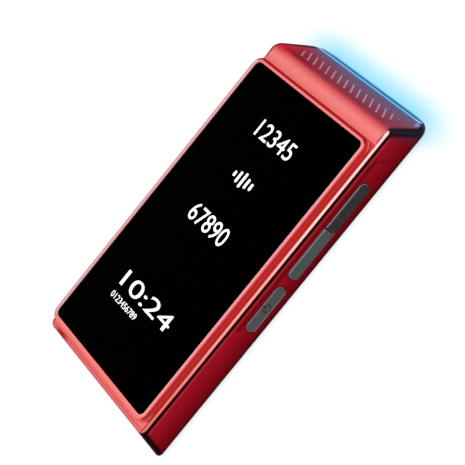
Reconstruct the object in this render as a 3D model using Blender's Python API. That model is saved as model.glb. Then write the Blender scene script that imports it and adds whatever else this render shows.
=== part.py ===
# Handheld translator: a pocket slab with a flush touch screen, a slanted speaker end, a light bar
# along the back edge of the head and three push keys in a shallow scoop of the right side.
# Frame: +X is the device's right side, +Y points to the head, +Z points out of the screen.
# The origin lies on the flat rear face, midway along the body. "Along" values are measured in Y
# from the middle of the glass, "depth" values are measured in -Z from the front of the glass.

import math

import bmesh
import bpy
from mathutils import Matrix, Vector

MM = 0.001

# Clearances and cuts
SEAT_GAP = 0.3 * MM
OVERRUN = 0.6 * MM

# Display stack
GLASS_WIDTH = 65.0 * MM
GLASS_LENGTH = 115.6 * MM
GLASS_THICKNESS = 1.2 * MM
GLASS_CORNER = 2.0 * MM
GLASS_CHAMFER = 0.15 * MM
PANEL_THICKNESS = 2.2 * MM
GASKET_THICKNESS = 0.5 * MM
GASKET_MARGIN = 0.15 * MM
LEDGE_WIDTH = 2.0 * MM
LEDGE_CORNER = 1.2 * MM
FRAME_SHEET = 0.8 * MM
FRAME_FLANGE = 2.0 * MM
FRAME_CORNER = 2.0 * MM

# Outer shape of the body
BODY_THICKNESS = 20.2 * MM
RIM_WIDTH = 2.0 * MM
RIM_CORNER = 4.0 * MM
RIM_ROUND = 0.5 * MM
SHOULDER_DROP = 3.2 * MM
SHOULDER_FLAT = 0.05 * MM
SIDE_FILLET = 1.05 * MM
HEAD_SHELF = 9.3 * MM
HEAD_SLOPE_SHARE = 0.56
HEAD_BEND = 4.6 * MM
FOOT_SHELF = 5.15 * MM
FOOT_SLOPE_SHARE = 0.31
FOOT_FILLET = 0.6 * MM
HEAD_CORNER_FRONT = 1.8 * MM
HEAD_CORNER_BACK = 4.3 * MM
FOOT_CORNER = 2.3 * MM
BACK_ROUND = 5.3 * MM
END_ROUND = 1.4 * MM
WALL = 1.6 * MM
MIN_INNER_CORNER = 0.6 * MM
PARTING_DEPTH = 16.6 * MM
LIP_HEIGHT = 1.2 * MM
LIP_THICKNESS = 0.9 * MM

# Smoothness of lofts and round pieces
CORNER_STEPS = 7
KEY_CORNER_STEPS = 5
PLAIN_CORNER_STEPS = 3
FILLET_STEPS = 4
BEND_STEPS = 5
BACK_STEPS = 5
LEVEL_STEP = 0.05 * MM
ROUND_SIDES = 24
SMALL_SIDES = 12
SMOOTH_ANGLE = math.radians(32)

# Grille: leaning slots clipped by a rectangle on the slanted end face
GRILLE_SLOTS = 16
GRILLE_PITCH = 3.8 * MM
GRILLE_WIDTH = 55.8 * MM
GRILLE_HEIGHT = 7.4 * MM
GRILLE_START = 2.9 * MM
GRILLE_SHIFT = 2.0 * MM
GRILLE_LEAN = math.radians(45)
SLOT_WIDTH = 0.75 * MM
SLOT_MIN_LENGTH = 0.3 * MM
SLOT_END_STEPS = 4

# Speaker behind the grille
MESH_THICKNESS = 0.4 * MM
MESH_MARGIN = 0.6 * MM
SPEAKER_WIDTH = 46.0 * MM
SPEAKER_HEIGHT = 9.4 * MM
SPEAKER_THICKNESS = 5.0 * MM
SPEAKER_CORNER = 2.0 * MM
SPEAKER_CONE_INSET = 1.2 * MM
SPEAKER_CONE_DEPTH = 0.8 * MM

# Light bar and its board
BAR_HEIGHT = 1.3 * MM
BAR_DEPTH = 2.6 * MM
BAR_RETURN = 1.2 * MM
LIGHT_BOARD_WIDTH = 52.0 * MM
LIGHT_BOARD_DEPTH = 3.0 * MM
LIGHT_BOARD_THICKNESS = 0.8 * MM
DIODE_COUNT = 6
DIODE_LENGTH = 1.8 * MM
DIODE_DEPTH = 1.2 * MM
DIODE_HEIGHT = 0.6 * MM
DIODE_SINK = 0.1 * MM

# Keys on the right side
KEY_DEPTH = 11.5 * MM
KEY_WIDTH = 5.2 * MM
KEY_CORNER = 2.2 * MM
KEY_SPLIT_CORNER = 0.3 * MM
KEY_PROUD = 0.5 * MM
KEY_CHAMFER = 0.25 * MM
KEY_TRAVEL = 0.3 * MM
KEY_FLANGE = 0.6 * MM
KEY_FLANGE_THICKNESS = 0.8 * MM
KEY_PLUNGER = 0.45 * MM
KEY_PLUNGER_SIZE = 2.4 * MM
KEYS_TOP = 48.3 * MM
UPPER_KEY_LENGTH = 19.4 * MM
LOWER_KEY_LENGTH = 20.2 * MM
POWER_KEY_LENGTH = 18.6 * MM
KEY_SPLIT = 0.4 * MM
POWER_KEY_SPACE = 3.8 * MM
SCOOP_DEPTH = 0.5 * MM
SCOOP_FRONT = 5.9 * MM
SCOOP_HEAD_MARGIN = 6.5 * MM
SCOOP_FOOT_MARGIN = 3.0 * MM
SCOOP_CORNER = 1.6 * MM
SCOOP_SIDE_SLOPE_SHARE = 1.6

# Key switches, board and bracket
SWITCH_REST_GAP = 0.15 * MM
SWITCH_THICKNESS = 0.9 * MM
SWITCH_SIZE = 3.4 * MM
SWITCH_DOME = 2.0 * MM
SWITCH_DOME_HEIGHT = 0.3 * MM
KEY_BOARD_THICKNESS = 0.8 * MM
KEY_BOARD_HEIGHT = 5.8 * MM
KEY_BOARD_MARGIN = 1.5 * MM
KEY_BRACKET_SHEET = 1.0 * MM
KEY_BRACKET_BELOW = 1.2 * MM
KEY_BRACKET_FOOT = 3.6 * MM

# Screws and their bosses
SCREW_X = 27.5 * MM
MIDDLE_SCREW_ALONG = -24.0 * MM
SCREW_HEAD_RADIUS = 1.7 * MM
SCREW_HEAD_HEIGHT = 1.1 * MM
SCREW_HEAD_SINK = 0.1 * MM
SCREW_SHANK_RADIUS = 0.8 * MM
SCREW_LENGTH = 7.0 * MM
BOSS_RADIUS = 2.0 * MM
BOSS_SPACE = 0.2 * MM
BOSS_WEB = 1.4 * MM

# Boards and battery
BOARD_THICKNESS = 1.0 * MM
MAIN_BOARD_WIDTH = 49.0 * MM
MAIN_BOARD_MARGIN = 0.8 * MM
BOARD_CORNER = 1.5 * MM
SHIELD_HEIGHT = 2.2 * MM
SHIELD_SHEET = 0.4 * MM
SHIELD_CORNER = 0.6 * MM
SHIELD_SPACE = 1.5 * MM
PROCESSOR_SHIELD_WIDTH = 24.0 * MM
RADIO_SHIELD_WIDTH = 17.0 * MM
CONNECTOR_WIDTH = 9.0 * MM
CONNECTOR_LENGTH = 3.6 * MM
CONNECTOR_HEIGHT = 1.8 * MM
BATTERY_WIDTH = 47.0 * MM
BATTERY_LENGTH = 71.0 * MM
BATTERY_THICKNESS = 7.4 * MM
BATTERY_CORNER = 2.0 * MM
BATTERY_SPACE = 2.0 * MM
BATTERY_FOOT_SPACE = 4.2 * MM
ANTENNA_LENGTH = 46.0 * MM
ANTENNA_HEIGHT = 7.0 * MM
ANTENNA_THICKNESS = 2.4 * MM
ANTENNA_DEPTH = 10.5 * MM
ANTENNA_ALONG = 12.0 * MM

# Lower board, charging socket and microphones
USB_DEPTH = 11.0 * MM
USB_WIDTH = 8.9 * MM
USB_HEIGHT = 3.2 * MM
USB_LENGTH = 7.4 * MM
USB_SHELL = 0.35 * MM
USB_BACK = 1.0 * MM
USB_TONGUE_WIDTH = 6.4 * MM
USB_TONGUE_HEIGHT = 0.7 * MM
USB_TONGUE_LENGTH = 4.6 * MM
USB_INSET = 0.5 * MM
USB_SIDE_FLAT = 0.3 * MM
LOWER_BOARD_WIDTH = 44.0 * MM
LOWER_BOARD_LENGTH = 12.5 * MM
LOWER_POST_X = 15.0 * MM
LOWER_POST_RADIUS = 1.4 * MM
MIC_X = 12.0 * MM
MIC_WIDTH = 3.6 * MM
MIC_LENGTH = 2.8 * MM
MIC_HEIGHT = 1.1 * MM
MIC_HOLE_RADIUS = 0.55 * MM

# Rear camera, flash and vibration motor, all seated in the rear cover
CAMERA_X = 17.0 * MM
CAMERA_ALONG = 50.0 * MM
CAMERA_BODY = 8.6 * MM
CAMERA_HEIGHT = 5.0 * MM
CAMERA_BARREL_RADIUS = 3.2 * MM
CAMERA_POCKET_WALL = 0.9 * MM
CAMERA_POCKET_HEIGHT = 2.2 * MM
WINDOW_RADIUS = 5.0 * MM
WINDOW_THICKNESS = 0.8 * MM
WINDOW_SINK = 0.15 * MM
FLASH_X = 6.5 * MM
FLASH_RADIUS = 2.0 * MM
FLASH_STEM_RADIUS = 1.2 * MM
MOTOR_X = -17.0 * MM
MOTOR_ALONG = -53.5 * MM
MOTOR_RADIUS = 4.0 * MM
MOTOR_HEIGHT = 3.0 * MM
MOTOR_RING = 0.9 * MM
MOTOR_RING_HEIGHT = 1.4 * MM

# Derived: half sizes and levels shared by the shells and what they hold
half_glass_x = GLASS_WIDTH / 2
half_glass_y = GLASS_LENGTH / 2
window_x = half_glass_x + SEAT_GAP
window_y = half_glass_y + SEAT_GAP
ledge_x = window_x - LEDGE_WIDTH
ledge_y = window_y - LEDGE_WIDTH
rim_x = half_glass_x + RIM_WIDTH
rim_y = half_glass_y + RIM_WIDTH
body_x = rim_x + SHOULDER_FLAT + SIDE_FILLET
inner_x = body_x - WALL
ceiling_depth = SHOULDER_DROP + WALL
cover_rim_depth = PARTING_DEPTH + SEAT_GAP
floor_z = WALL
head_angle = math.atan(HEAD_SLOPE_SHARE)
foot_angle = math.atan(FOOT_SLOPE_SHARE)
bend_turn = math.pi / 2 - head_angle
bend_tangent = HEAD_BEND * math.tan(bend_turn / 2)
bend_depth = HEAD_BEND * (1 - math.cos(bend_turn))


def fillet_inset(distance, radius):
    """How far a rounded edge lies inside the full size, a distance past the edge's start."""
    if distance >= radius:
        return 0
    reach = max(distance, 0)
    return radius - math.sqrt(radius ** 2 - (radius - reach) ** 2)


def head_line(depth):
    return half_glass_y + HEAD_SHELF + HEAD_SLOPE_SHARE * (depth - SHOULDER_DROP)


def foot_line(depth):
    return -half_glass_y - FOOT_SHELF - FOOT_SLOPE_SHARE * (depth - SHOULDER_DROP)


def head_end(depth):
    """Outer end of the head: flat shelf, bend, slanted face, then the rounded back edge."""
    below = depth - SHOULDER_DROP
    if below < bend_depth:
        reach = math.sqrt(HEAD_BEND ** 2 - (HEAD_BEND - below) ** 2)
        return half_glass_y + HEAD_SHELF - bend_tangent + reach
    return head_line(depth) - fillet_inset(BODY_THICKNESS - depth, END_ROUND)


def foot_end(depth):
    inset = fillet_inset(depth - SHOULDER_DROP, FOOT_FILLET)
    inset += fillet_inset(BODY_THICKNESS - depth, END_ROUND)
    return foot_line(depth) + inset


def side_x(depth):
    inset = fillet_inset(depth - SHOULDER_DROP, SIDE_FILLET)
    inset += fillet_inset(BODY_THICKNESS - depth, BACK_ROUND)
    return body_x - inset


def head_corner(depth):
    share = (depth - SHOULDER_DROP) / (BODY_THICKNESS - SHOULDER_DROP)
    return HEAD_CORNER_FRONT + share * (HEAD_CORNER_BACK - HEAD_CORNER_FRONT)


def body_levels(first_depth, last_depth):
    """Depths at which the outer shape needs a ring, closest where it is rounded."""
    levels = [first_depth, last_depth]
    for step in range(BEND_STEPS + 1):
        levels.append(SHOULDER_DROP + HEAD_BEND * (1 - math.cos(bend_turn * step / BEND_STEPS)))
    for step in range(FILLET_STEPS + 1):
        drop = 1 - math.cos(math.pi / 2 * step / FILLET_STEPS)
        levels.append(SHOULDER_DROP + SIDE_FILLET * drop)
    for step in range(BACK_STEPS + 1):
        rise = 1 - math.cos(math.pi / 2 * step / BACK_STEPS)
        levels.append(BODY_THICKNESS - BACK_ROUND * rise)
    for step in range(FILLET_STEPS + 1):
        rise = 1 - math.cos(math.pi / 2 * step / FILLET_STEPS)
        levels.append(BODY_THICKNESS - END_ROUND * rise)
    kept = [first_depth]
    for depth in sorted(levels):
        if depth - kept[-1] > LEVEL_STEP and depth < last_depth - LEVEL_STEP:
            kept.append(depth)
    kept.append(last_depth)
    return kept


# The body's middle lies on the origin, so the glass sits a little towards the foot
all_levels = body_levels(SHOULDER_DROP, BODY_THICKNESS)
body_head = max(head_end(depth) for depth in all_levels)
body_foot = min(foot_end(depth) for depth in all_levels)
glass_y = -(body_head + body_foot) / 2


def to_y(along):
    return glass_y + along


def to_z(depth):
    return BODY_THICKNESS - depth


def remove_everything():
    for item in list(bpy.data.objects):
        bpy.data.objects.remove(item, do_unlink=True)


def make_material(name, color, roughness, metallic=0.0, transmission=0.0):
    material = bpy.data.materials.new(name)
    material.use_nodes = True
    shader = material.node_tree.nodes["Principled BSDF"]
    shader.inputs["Base Color"].default_value = (*color, 1)
    shader.inputs["Roughness"].default_value = roughness
    shader.inputs["Metallic"].default_value = metallic
    shader.inputs["Transmission Weight"].default_value = transmission
    material.diffuse_color = (*color, 1)
    return material


def rounded_polygon(corners, radii, steps=CORNER_STEPS):
    """Outline of a convex polygon, counterclockwise, with an arc of its own at each corner."""
    outline = []
    count = len(corners)
    for index, corner in enumerate(corners):
        here = Vector(corner)
        back = (Vector(corners[index - 1]) - here).normalized()
        ahead = (Vector(corners[(index + 1) % count]) - here).normalized()
        half_angle = back.angle(ahead) / 2
        centre = here + (back + ahead).normalized() * radii[index] / math.sin(half_angle)
        start = here + back * radii[index] / math.tan(half_angle) - centre
        turn = math.pi - 2 * half_angle
        for step in range(steps + 1):
            angle = turn * step / steps
            spoke = Matrix.Rotation(angle, 2) @ start
            outline.append(centre + spoke)
    return outline


def rounded_rectangle(half_x, low, high, low_radius, high_radius, steps=CORNER_STEPS):
    corners = [(half_x, low), (half_x, high), (-half_x, high), (-half_x, low)]
    return rounded_polygon(corners, [low_radius, high_radius, high_radius, low_radius], steps)


def circle(radius, sides):
    angles = [2 * math.pi * step / sides for step in range(sides)]
    return [Vector((radius * math.cos(angle), radius * math.sin(angle))) for angle in angles]


def flat_ring(outline, z, centre=(0, 0)):
    return [Vector((centre[0] + point.x, centre[1] + point.y, z)) for point in outline]


def side_ring(outline, x):
    """An outline drawn in (Z, Y), seen from the device's right side."""
    return [Vector((x, point.y, point.x)) for point in outline]


def finish_object(name, mesh, material, location=(0, 0, 0)):
    mesh.shade_smooth()
    mesh.set_sharp_from_angle(angle=SMOOTH_ANGLE)
    thing = bpy.data.objects.new(name, mesh)
    bpy.context.collection.objects.link(thing)
    thing.location = location
    if material:
        mesh.materials.append(material)
    return thing


def loft(name, rings, material=None, closed=False, location=(0, 0, 0), placed=None):
    """A solid through rings of equal point counts, capped at both ends or closed on itself."""
    form = bmesh.new()
    loops = [[form.verts.new(point) for point in ring] for ring in rings]
    pairs = list(zip(loops, loops[1:]))
    if closed:
        pairs.append((loops[-1], loops[0]))
    for first, second in pairs:
        for i in range(len(first)):
            form.faces.new((first[i - 1], first[i], second[i], second[i - 1]))
    if not closed:
        form.faces.new(reversed(loops[0]))
        form.faces.new(loops[-1])
    if form.calc_volume(signed=True) < 0:
        bmesh.ops.reverse_faces(form, faces=form.faces[:])
    if placed:
        form.transform(placed)
    mesh = bpy.data.meshes.new(name)
    form.to_mesh(mesh)
    form.free()
    return finish_object(name, mesh, material, location)


def block(name, low, high, radius, material=None, placed=None):
    """A box from its low to its high corner with its upright edges rounded."""
    half_x = (high[0] - low[0]) / 2
    half_y = (high[1] - low[1]) / 2
    middle = ((high[0] + low[0]) / 2, (high[1] + low[1]) / 2)
    outline = rounded_rectangle(half_x, -half_y, half_y, radius, radius, PLAIN_CORNER_STEPS)
    rings = [flat_ring(outline, low[2], middle), flat_ring(outline, high[2], middle)]
    return loft(name, rings, material, placed=placed)


def plain_box(name, low, high, material=None, placed=None):
    form = bmesh.new()
    bmesh.ops.create_cube(form, size=1)
    size = Vector(high) - Vector(low)
    middle = (Vector(high) + Vector(low)) / 2
    form.transform(Matrix.Translation(middle) @ Matrix.Diagonal((*size, 1)))
    if placed:
        form.transform(placed)
    mesh = bpy.data.meshes.new(name)
    form.to_mesh(mesh)
    form.free()
    return finish_object(name, mesh, material)


def turned(name, centre, steps, sides, material=None, along_y=False):
    """Coaxial discs: each step is a radius and a place on the axis, which is Z or Y."""
    rings = []
    for radius, place in steps:
        outline = circle(radius, sides)
        if along_y:
            ring = [Vector((centre[0] + point.x, place, centre[1] + point.y)) for point in outline]
        else:
            ring = flat_ring(outline, place, centre)
        rings.append(ring)
    return loft(name, rings, material)


def gather(name, pieces):
    """Several guide solids as one object, so that one operation takes them together."""
    form = bmesh.new()
    for piece in pieces:
        form.from_mesh(piece.data)
        bpy.data.objects.remove(piece, do_unlink=True)
    mesh = bpy.data.meshes.new(name)
    form.to_mesh(mesh)
    form.free()
    return finish_object(name, mesh, None)


def combine(target, other, operation):
    """Cut, join or keep with another solid, which stays in the file as a hidden guide."""
    other.hide_render = True
    other.display_type = "WIRE"
    modifier = target.modifiers.new(other.name, "BOOLEAN")
    modifier.operation = operation
    modifier.solver = "EXACT"
    modifier.object = other


def outer_ring(depth):
    outline = rounded_rectangle(
        side_x(depth), to_y(foot_end(depth)), to_y(head_end(depth)), FOOT_CORNER, head_corner(depth)
    )
    return flat_ring(outline, to_z(depth))


def offset_outline(depth, offset):
    """The body's outline at a depth, moved inwards square to its walls."""
    high = head_line(depth) - offset / math.cos(head_angle)
    low = foot_line(depth) + offset / math.cos(foot_angle)
    low_radius = max(FOOT_CORNER - offset, MIN_INNER_CORNER)
    high_radius = max(head_corner(depth) - offset, MIN_INNER_CORNER)
    return rounded_rectangle(side_x(depth) - offset, to_y(low), to_y(high), low_radius, high_radius)


def display_outline(half_x, half_y, radius, steps=CORNER_STEPS):
    return rounded_rectangle(half_x, to_y(-half_y), to_y(half_y), radius, radius, steps)


def hidden_outline(half_x, half_y, radius):
    return display_outline(half_x, half_y, radius, PLAIN_CORNER_STEPS)


# The slanted end face has a frame of its own: X, then down the face, then out of the face
face_matrix = Matrix.Translation((0, to_y(head_line(SHOULDER_DROP)), to_z(SHOULDER_DROP)))
face_matrix = face_matrix @ Matrix.Rotation(head_angle - math.pi / 2, 4, "X")


def key_outline(low, high, low_radius, high_radius, growth=0, low_growth=None, high_growth=None):
    """A key's outline in (Z, Y) about its own middle, grown by a clearance or a flange."""
    if low_growth is None:
        low_growth = growth
    if high_growth is None:
        high_growth = growth
    return rounded_rectangle(
        KEY_WIDTH / 2 + growth,
        low - low_growth,
        high + high_growth,
        low_radius + low_growth,
        high_radius + high_growth,
        KEY_CORNER_STEPS,
    )


# Key places along the side, from the head down
upper_key_low = KEYS_TOP - UPPER_KEY_LENGTH
lower_key_top = upper_key_low - KEY_SPLIT
lower_key_low = lower_key_top - LOWER_KEY_LENGTH
power_key_top = lower_key_low - POWER_KEY_SPACE
power_key_low = power_key_top - POWER_KEY_LENGTH
key_z = to_z(KEY_DEPTH)
scoop_x = body_x - SCOOP_DEPTH
key_face_x = scoop_x + KEY_PROUD
flange_outer_x = inner_x - SEAT_GAP
flange_inner_x = flange_outer_x - KEY_FLANGE_THICKNESS
plunger_x = flange_inner_x - KEY_PLUNGER
switch_x = plunger_x - KEY_TRAVEL - SWITCH_REST_GAP
key_board_x = switch_x - SWITCH_THICKNESS - SEAT_GAP
key_bracket_x = key_board_x - KEY_BOARD_THICKNESS - SEAT_GAP

# Levels of the display stack and what hangs under it
panel_top = to_z(GLASS_THICKNESS) - SEAT_GAP
panel_low = panel_top - PANEL_THICKNESS
gasket_top = to_z(GLASS_THICKNESS) - SEAT_GAP
ledge_z = gasket_top - GASKET_THICKNESS - SEAT_GAP
tray_top = panel_low - SEAT_GAP
tray_low = tray_top - FRAME_SHEET
flange_top = to_z(ceiling_depth) - SEAT_GAP
flange_low = flange_top - FRAME_SHEET
tray_x = ledge_x - SEAT_GAP
tray_y = ledge_y - SEAT_GAP
recess_x = tray_x - FRAME_SHEET
recess_y = tray_y - FRAME_SHEET
plate_x = ledge_x + FRAME_FLANGE - SEAT_GAP
plate_y = ledge_y + FRAME_FLANGE - SEAT_GAP
inner_stack_top = tray_low - SEAT_GAP

# Screw places: a pair at the head, one in the middle and one at the foot
head_screw_along = plate_y + SEAT_GAP + BOSS_SPACE + BOSS_RADIUS
foot_screw_along = -head_screw_along
boss_low = to_z(PARTING_DEPTH)
boss_hole_radius = SCREW_SHANK_RADIUS + SEAT_GAP
counterbore_depth = SCREW_HEAD_SINK + SCREW_HEAD_HEIGHT + SEAT_GAP
screw_places = {
    "head_right": (SCREW_X, head_screw_along),
    "head_left": (-SCREW_X, head_screw_along),
    "middle_right": (SCREW_X, MIDDLE_SCREW_ALONG),
    "middle_left": (-SCREW_X, MIDDLE_SCREW_ALONG),
    "foot_right": (SCREW_X, foot_screw_along),
    "foot_left": (-SCREW_X, foot_screw_along),
}

# Lower board: it hangs on two posts of the front housing and carries the charging socket
usb_z = to_z(USB_DEPTH)
lower_board_low = usb_z + USB_HEIGHT / 2 + SEAT_GAP
lower_board_top = lower_board_low + BOARD_THICKNESS
lower_board_foot = foot_line(BODY_THICKNESS - lower_board_top) + WALL / math.cos(foot_angle) + SEAT_GAP
lower_post_along = lower_board_foot + LOWER_POST_RADIUS + BOSS_SPACE
mic_top = lower_board_low - SEAT_GAP
mic_z = mic_top - MIC_HEIGHT / 2

# The battery stands off the lower board; the main board and its shields take the length above it
battery_foot = lower_board_foot + LOWER_BOARD_LENGTH + BATTERY_FOOT_SPACE
battery_head = battery_foot + BATTERY_LENGTH
main_board_foot = battery_head + BATTERY_SPACE
main_board_head = recess_y - MAIN_BOARD_MARGIN
connector_along = main_board_foot + SHIELD_SPACE
shield_foot = connector_along + CONNECTOR_LENGTH + SHIELD_SPACE
shield_head = main_board_head - SHIELD_SPACE


def build_grille_cutter():
    """Leaning round-ended slots, each as long as the grille's rectangle lets it be."""
    half_width = GRILLE_WIDTH / 2 - SLOT_WIDTH / 2
    low = GRILLE_START + SLOT_WIDTH / 2
    high = GRILLE_START + GRILLE_HEIGHT - SLOT_WIDTH / 2
    middle = (low + high) / 2
    lean = math.tan(GRILLE_LEAN)
    form = bmesh.new()
    for index in range(GRILLE_SLOTS):
        # Where this slot's centre line crosses the middle height of the grille
        crossing = GRILLE_SHIFT + GRILLE_PITCH * (index - (GRILLE_SLOTS - 1) / 2)
        top = min(high, middle + (crossing + half_width) / lean)
        bottom = max(low, middle + (crossing - half_width) / lean)
        if top - bottom < SLOT_MIN_LENGTH:
            continue
        start = Vector((crossing - (bottom - middle) * lean, bottom))
        end = Vector((crossing - (top - middle) * lean, top))
        forward = (end - start).normalized()
        across = Vector((forward.y, -forward.x)) * SLOT_WIDTH / 2
        outline = []
        for centre, first in ((end, across), (start, -across)):
            for step in range(SLOT_END_STEPS + 1):
                spoke = Matrix.Rotation(math.pi * step / SLOT_END_STEPS, 2) @ first
                outline.append(centre + spoke)
        low_loop = [form.verts.new((point.x, point.y, -WALL - OVERRUN)) for point in outline]
        cap = form.faces.new(low_loop)
        grown = bmesh.ops.extrude_face_region(form, geom=[cap])
        moved = [item for item in grown["geom"] if isinstance(item, bmesh.types.BMVert)]
        bmesh.ops.translate(form, vec=(0, 0, WALL + 2 * OVERRUN), verts=moved)
    bmesh.ops.recalc_face_normals(form, faces=form.faces[:])
    form.transform(face_matrix)
    mesh = bpy.data.meshes.new("grille_cutter")
    form.to_mesh(mesh)
    form.free()
    return finish_object("grille_cutter", mesh, None)


def build_scoop_cutter():
    """The shallow recess round the keys; its ends lean like the body's ends."""
    deepest = PARTING_DEPTH + OVERRUN
    rings = []
    reach = SCOOP_DEPTH + OVERRUN
    for x, growth in ((scoop_x, 0), (scoop_x + reach, reach * SCOOP_SIDE_SLOPE_SHARE)):
        front = SCOOP_FRONT - growth
        head = KEYS_TOP + SCOOP_HEAD_MARGIN + growth
        foot = power_key_low - SCOOP_FOOT_MARGIN - growth
        corners = [
            (to_z(front), to_y(foot)),
            (to_z(front), to_y(head)),
            (to_z(deepest), to_y(head + HEAD_SLOPE_SHARE * (deepest - front))),
            (to_z(deepest), to_y(foot - FOOT_SLOPE_SHARE * (deepest - front))),
        ]
        radius = SCOOP_CORNER + growth
        rings.append(side_ring(rounded_polygon(corners, [radius] * 4), x))
    return loft("scoop_cutter", rings)


def build_key_slot_cutter(name, low, high):
    radius = KEY_CORNER + SEAT_GAP
    outline = rounded_rectangle(
        KEY_WIDTH / 2 + SEAT_GAP, to_y(low) - SEAT_GAP, to_y(high) + SEAT_GAP, radius, radius
    )
    outline = [Vector((point.x + key_z, point.y)) for point in outline]
    rings = [side_ring(outline, inner_x - OVERRUN), side_ring(outline, body_x + OVERRUN)]
    return loft(name, rings)


def build_front_housing(material):
    """One moulding: raised rim with the glass ledge, shoulder, walls, slanted ends and bosses."""
    rings = [
        flat_ring(display_outline(window_x, window_y, GLASS_CORNER + SEAT_GAP), to_z(0)),
        flat_ring(display_outline(rim_x - RIM_ROUND, rim_y - RIM_ROUND, RIM_CORNER - RIM_ROUND), to_z(0)),
    ]
    for step in range(1, FILLET_STEPS + 1):
        angle = math.pi / 2 * step / FILLET_STEPS
        inset = RIM_ROUND * (1 - math.sin(angle))
        drop = RIM_ROUND * (1 - math.cos(angle))
        outline = display_outline(rim_x - inset, rim_y - inset, RIM_CORNER - inset)
        rings.append(flat_ring(outline, to_z(drop)))
    rings.append(flat_ring(display_outline(rim_x, rim_y, RIM_CORNER), to_z(SHOULDER_DROP)))
    levels = body_levels(SHOULDER_DROP, PARTING_DEPTH)
    rings += [outer_ring(depth) for depth in levels]
    inner_levels = [depth for depth in levels if depth > ceiling_depth + LEVEL_STEP]
    for depth in reversed([ceiling_depth] + inner_levels):
        rings.append(flat_ring(offset_outline(depth, WALL), to_z(depth)))
    ledge = display_outline(ledge_x, ledge_y, LEDGE_CORNER)
    rings.append(flat_ring(ledge, to_z(ceiling_depth)))
    rings.append(flat_ring(ledge, ledge_z))
    rings.append(flat_ring(display_outline(window_x, window_y, GLASS_CORNER + SEAT_GAP), ledge_z))
    housing = loft("front_housing", rings, material, closed=True)

    # Bosses for the six screws; the middle pair stands on webs from the side walls
    web_low = to_z(cover_rim_depth - LIP_HEIGHT) + SEAT_GAP
    posts = []
    webs = []
    holes = []
    for place, (x, along) in screw_places.items():
        middle = place.startswith("middle")
        centre = (x, to_y(along))
        top = flange_low - SEAT_GAP if middle else to_z(ceiling_depth) + OVERRUN
        posts.append(turned("boss", centre, [(BOSS_RADIUS, boss_low), (BOSS_RADIUS, top)], ROUND_SIDES))
        if middle:
            ends = sorted([x, math.copysign(inner_x + OVERRUN, x)])
            low = (ends[0], to_y(along) - BOSS_WEB / 2, web_low)
            webs.append(plain_box("web", low, (ends[1], to_y(along) + BOSS_WEB / 2, top)))
        steps = [
            (boss_hole_radius, boss_low - OVERRUN),
            (boss_hole_radius, counterbore_depth + SCREW_LENGTH + SEAT_GAP),
        ]
        holes.append(turned("boss_hole", centre, steps, SMALL_SIDES))
    for x in (LOWER_POST_X, -LOWER_POST_X):
        steps = [
            (LOWER_POST_RADIUS, lower_board_top + SEAT_GAP),
            (LOWER_POST_RADIUS, to_z(ceiling_depth) + OVERRUN),
        ]
        posts.append(turned("lower_post", (x, to_y(lower_post_along)), steps, SMALL_SIDES))
    combine(housing, gather("housing_posts", posts), "UNION")
    combine(housing, gather("housing_webs", webs), "UNION")
    combine(housing, gather("housing_boss_holes", holes), "DIFFERENCE")
    combine(housing, build_scoop_cutter(), "DIFFERENCE")

    # Key slots, grille slots, the charging socket's mouth and two microphone holes
    openings = [
        build_key_slot_cutter("translate_slot", lower_key_low, KEYS_TOP),
        build_key_slot_cutter("power_slot", power_key_low, power_key_top),
        build_grille_cutter(),
    ]
    half = USB_HEIGHT / 2 + SEAT_GAP
    radius = half - USB_SIDE_FLAT / 2
    outline = rounded_rectangle(USB_WIDTH / 2 + SEAT_GAP, usb_z - half, usb_z + half, radius, radius)
    far = to_y(foot_line(USB_DEPTH + USB_HEIGHT)) - OVERRUN
    near = to_y(foot_line(USB_DEPTH - USB_HEIGHT) + 2 * WALL)
    rings = [[Vector((point.x, y, point.y)) for point in outline] for y in (far, near)]
    openings.append(loft("socket_mouth", rings))
    for x in (MIC_X, -MIC_X):
        steps = [(MIC_HOLE_RADIUS, far), (MIC_HOLE_RADIUS, near)]
        openings.append(turned("mic_hole", (x, mic_z), steps, SMALL_SIDES, along_y=True))
    combine(housing, gather("housing_openings", openings), "DIFFERENCE")
    return housing


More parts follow.
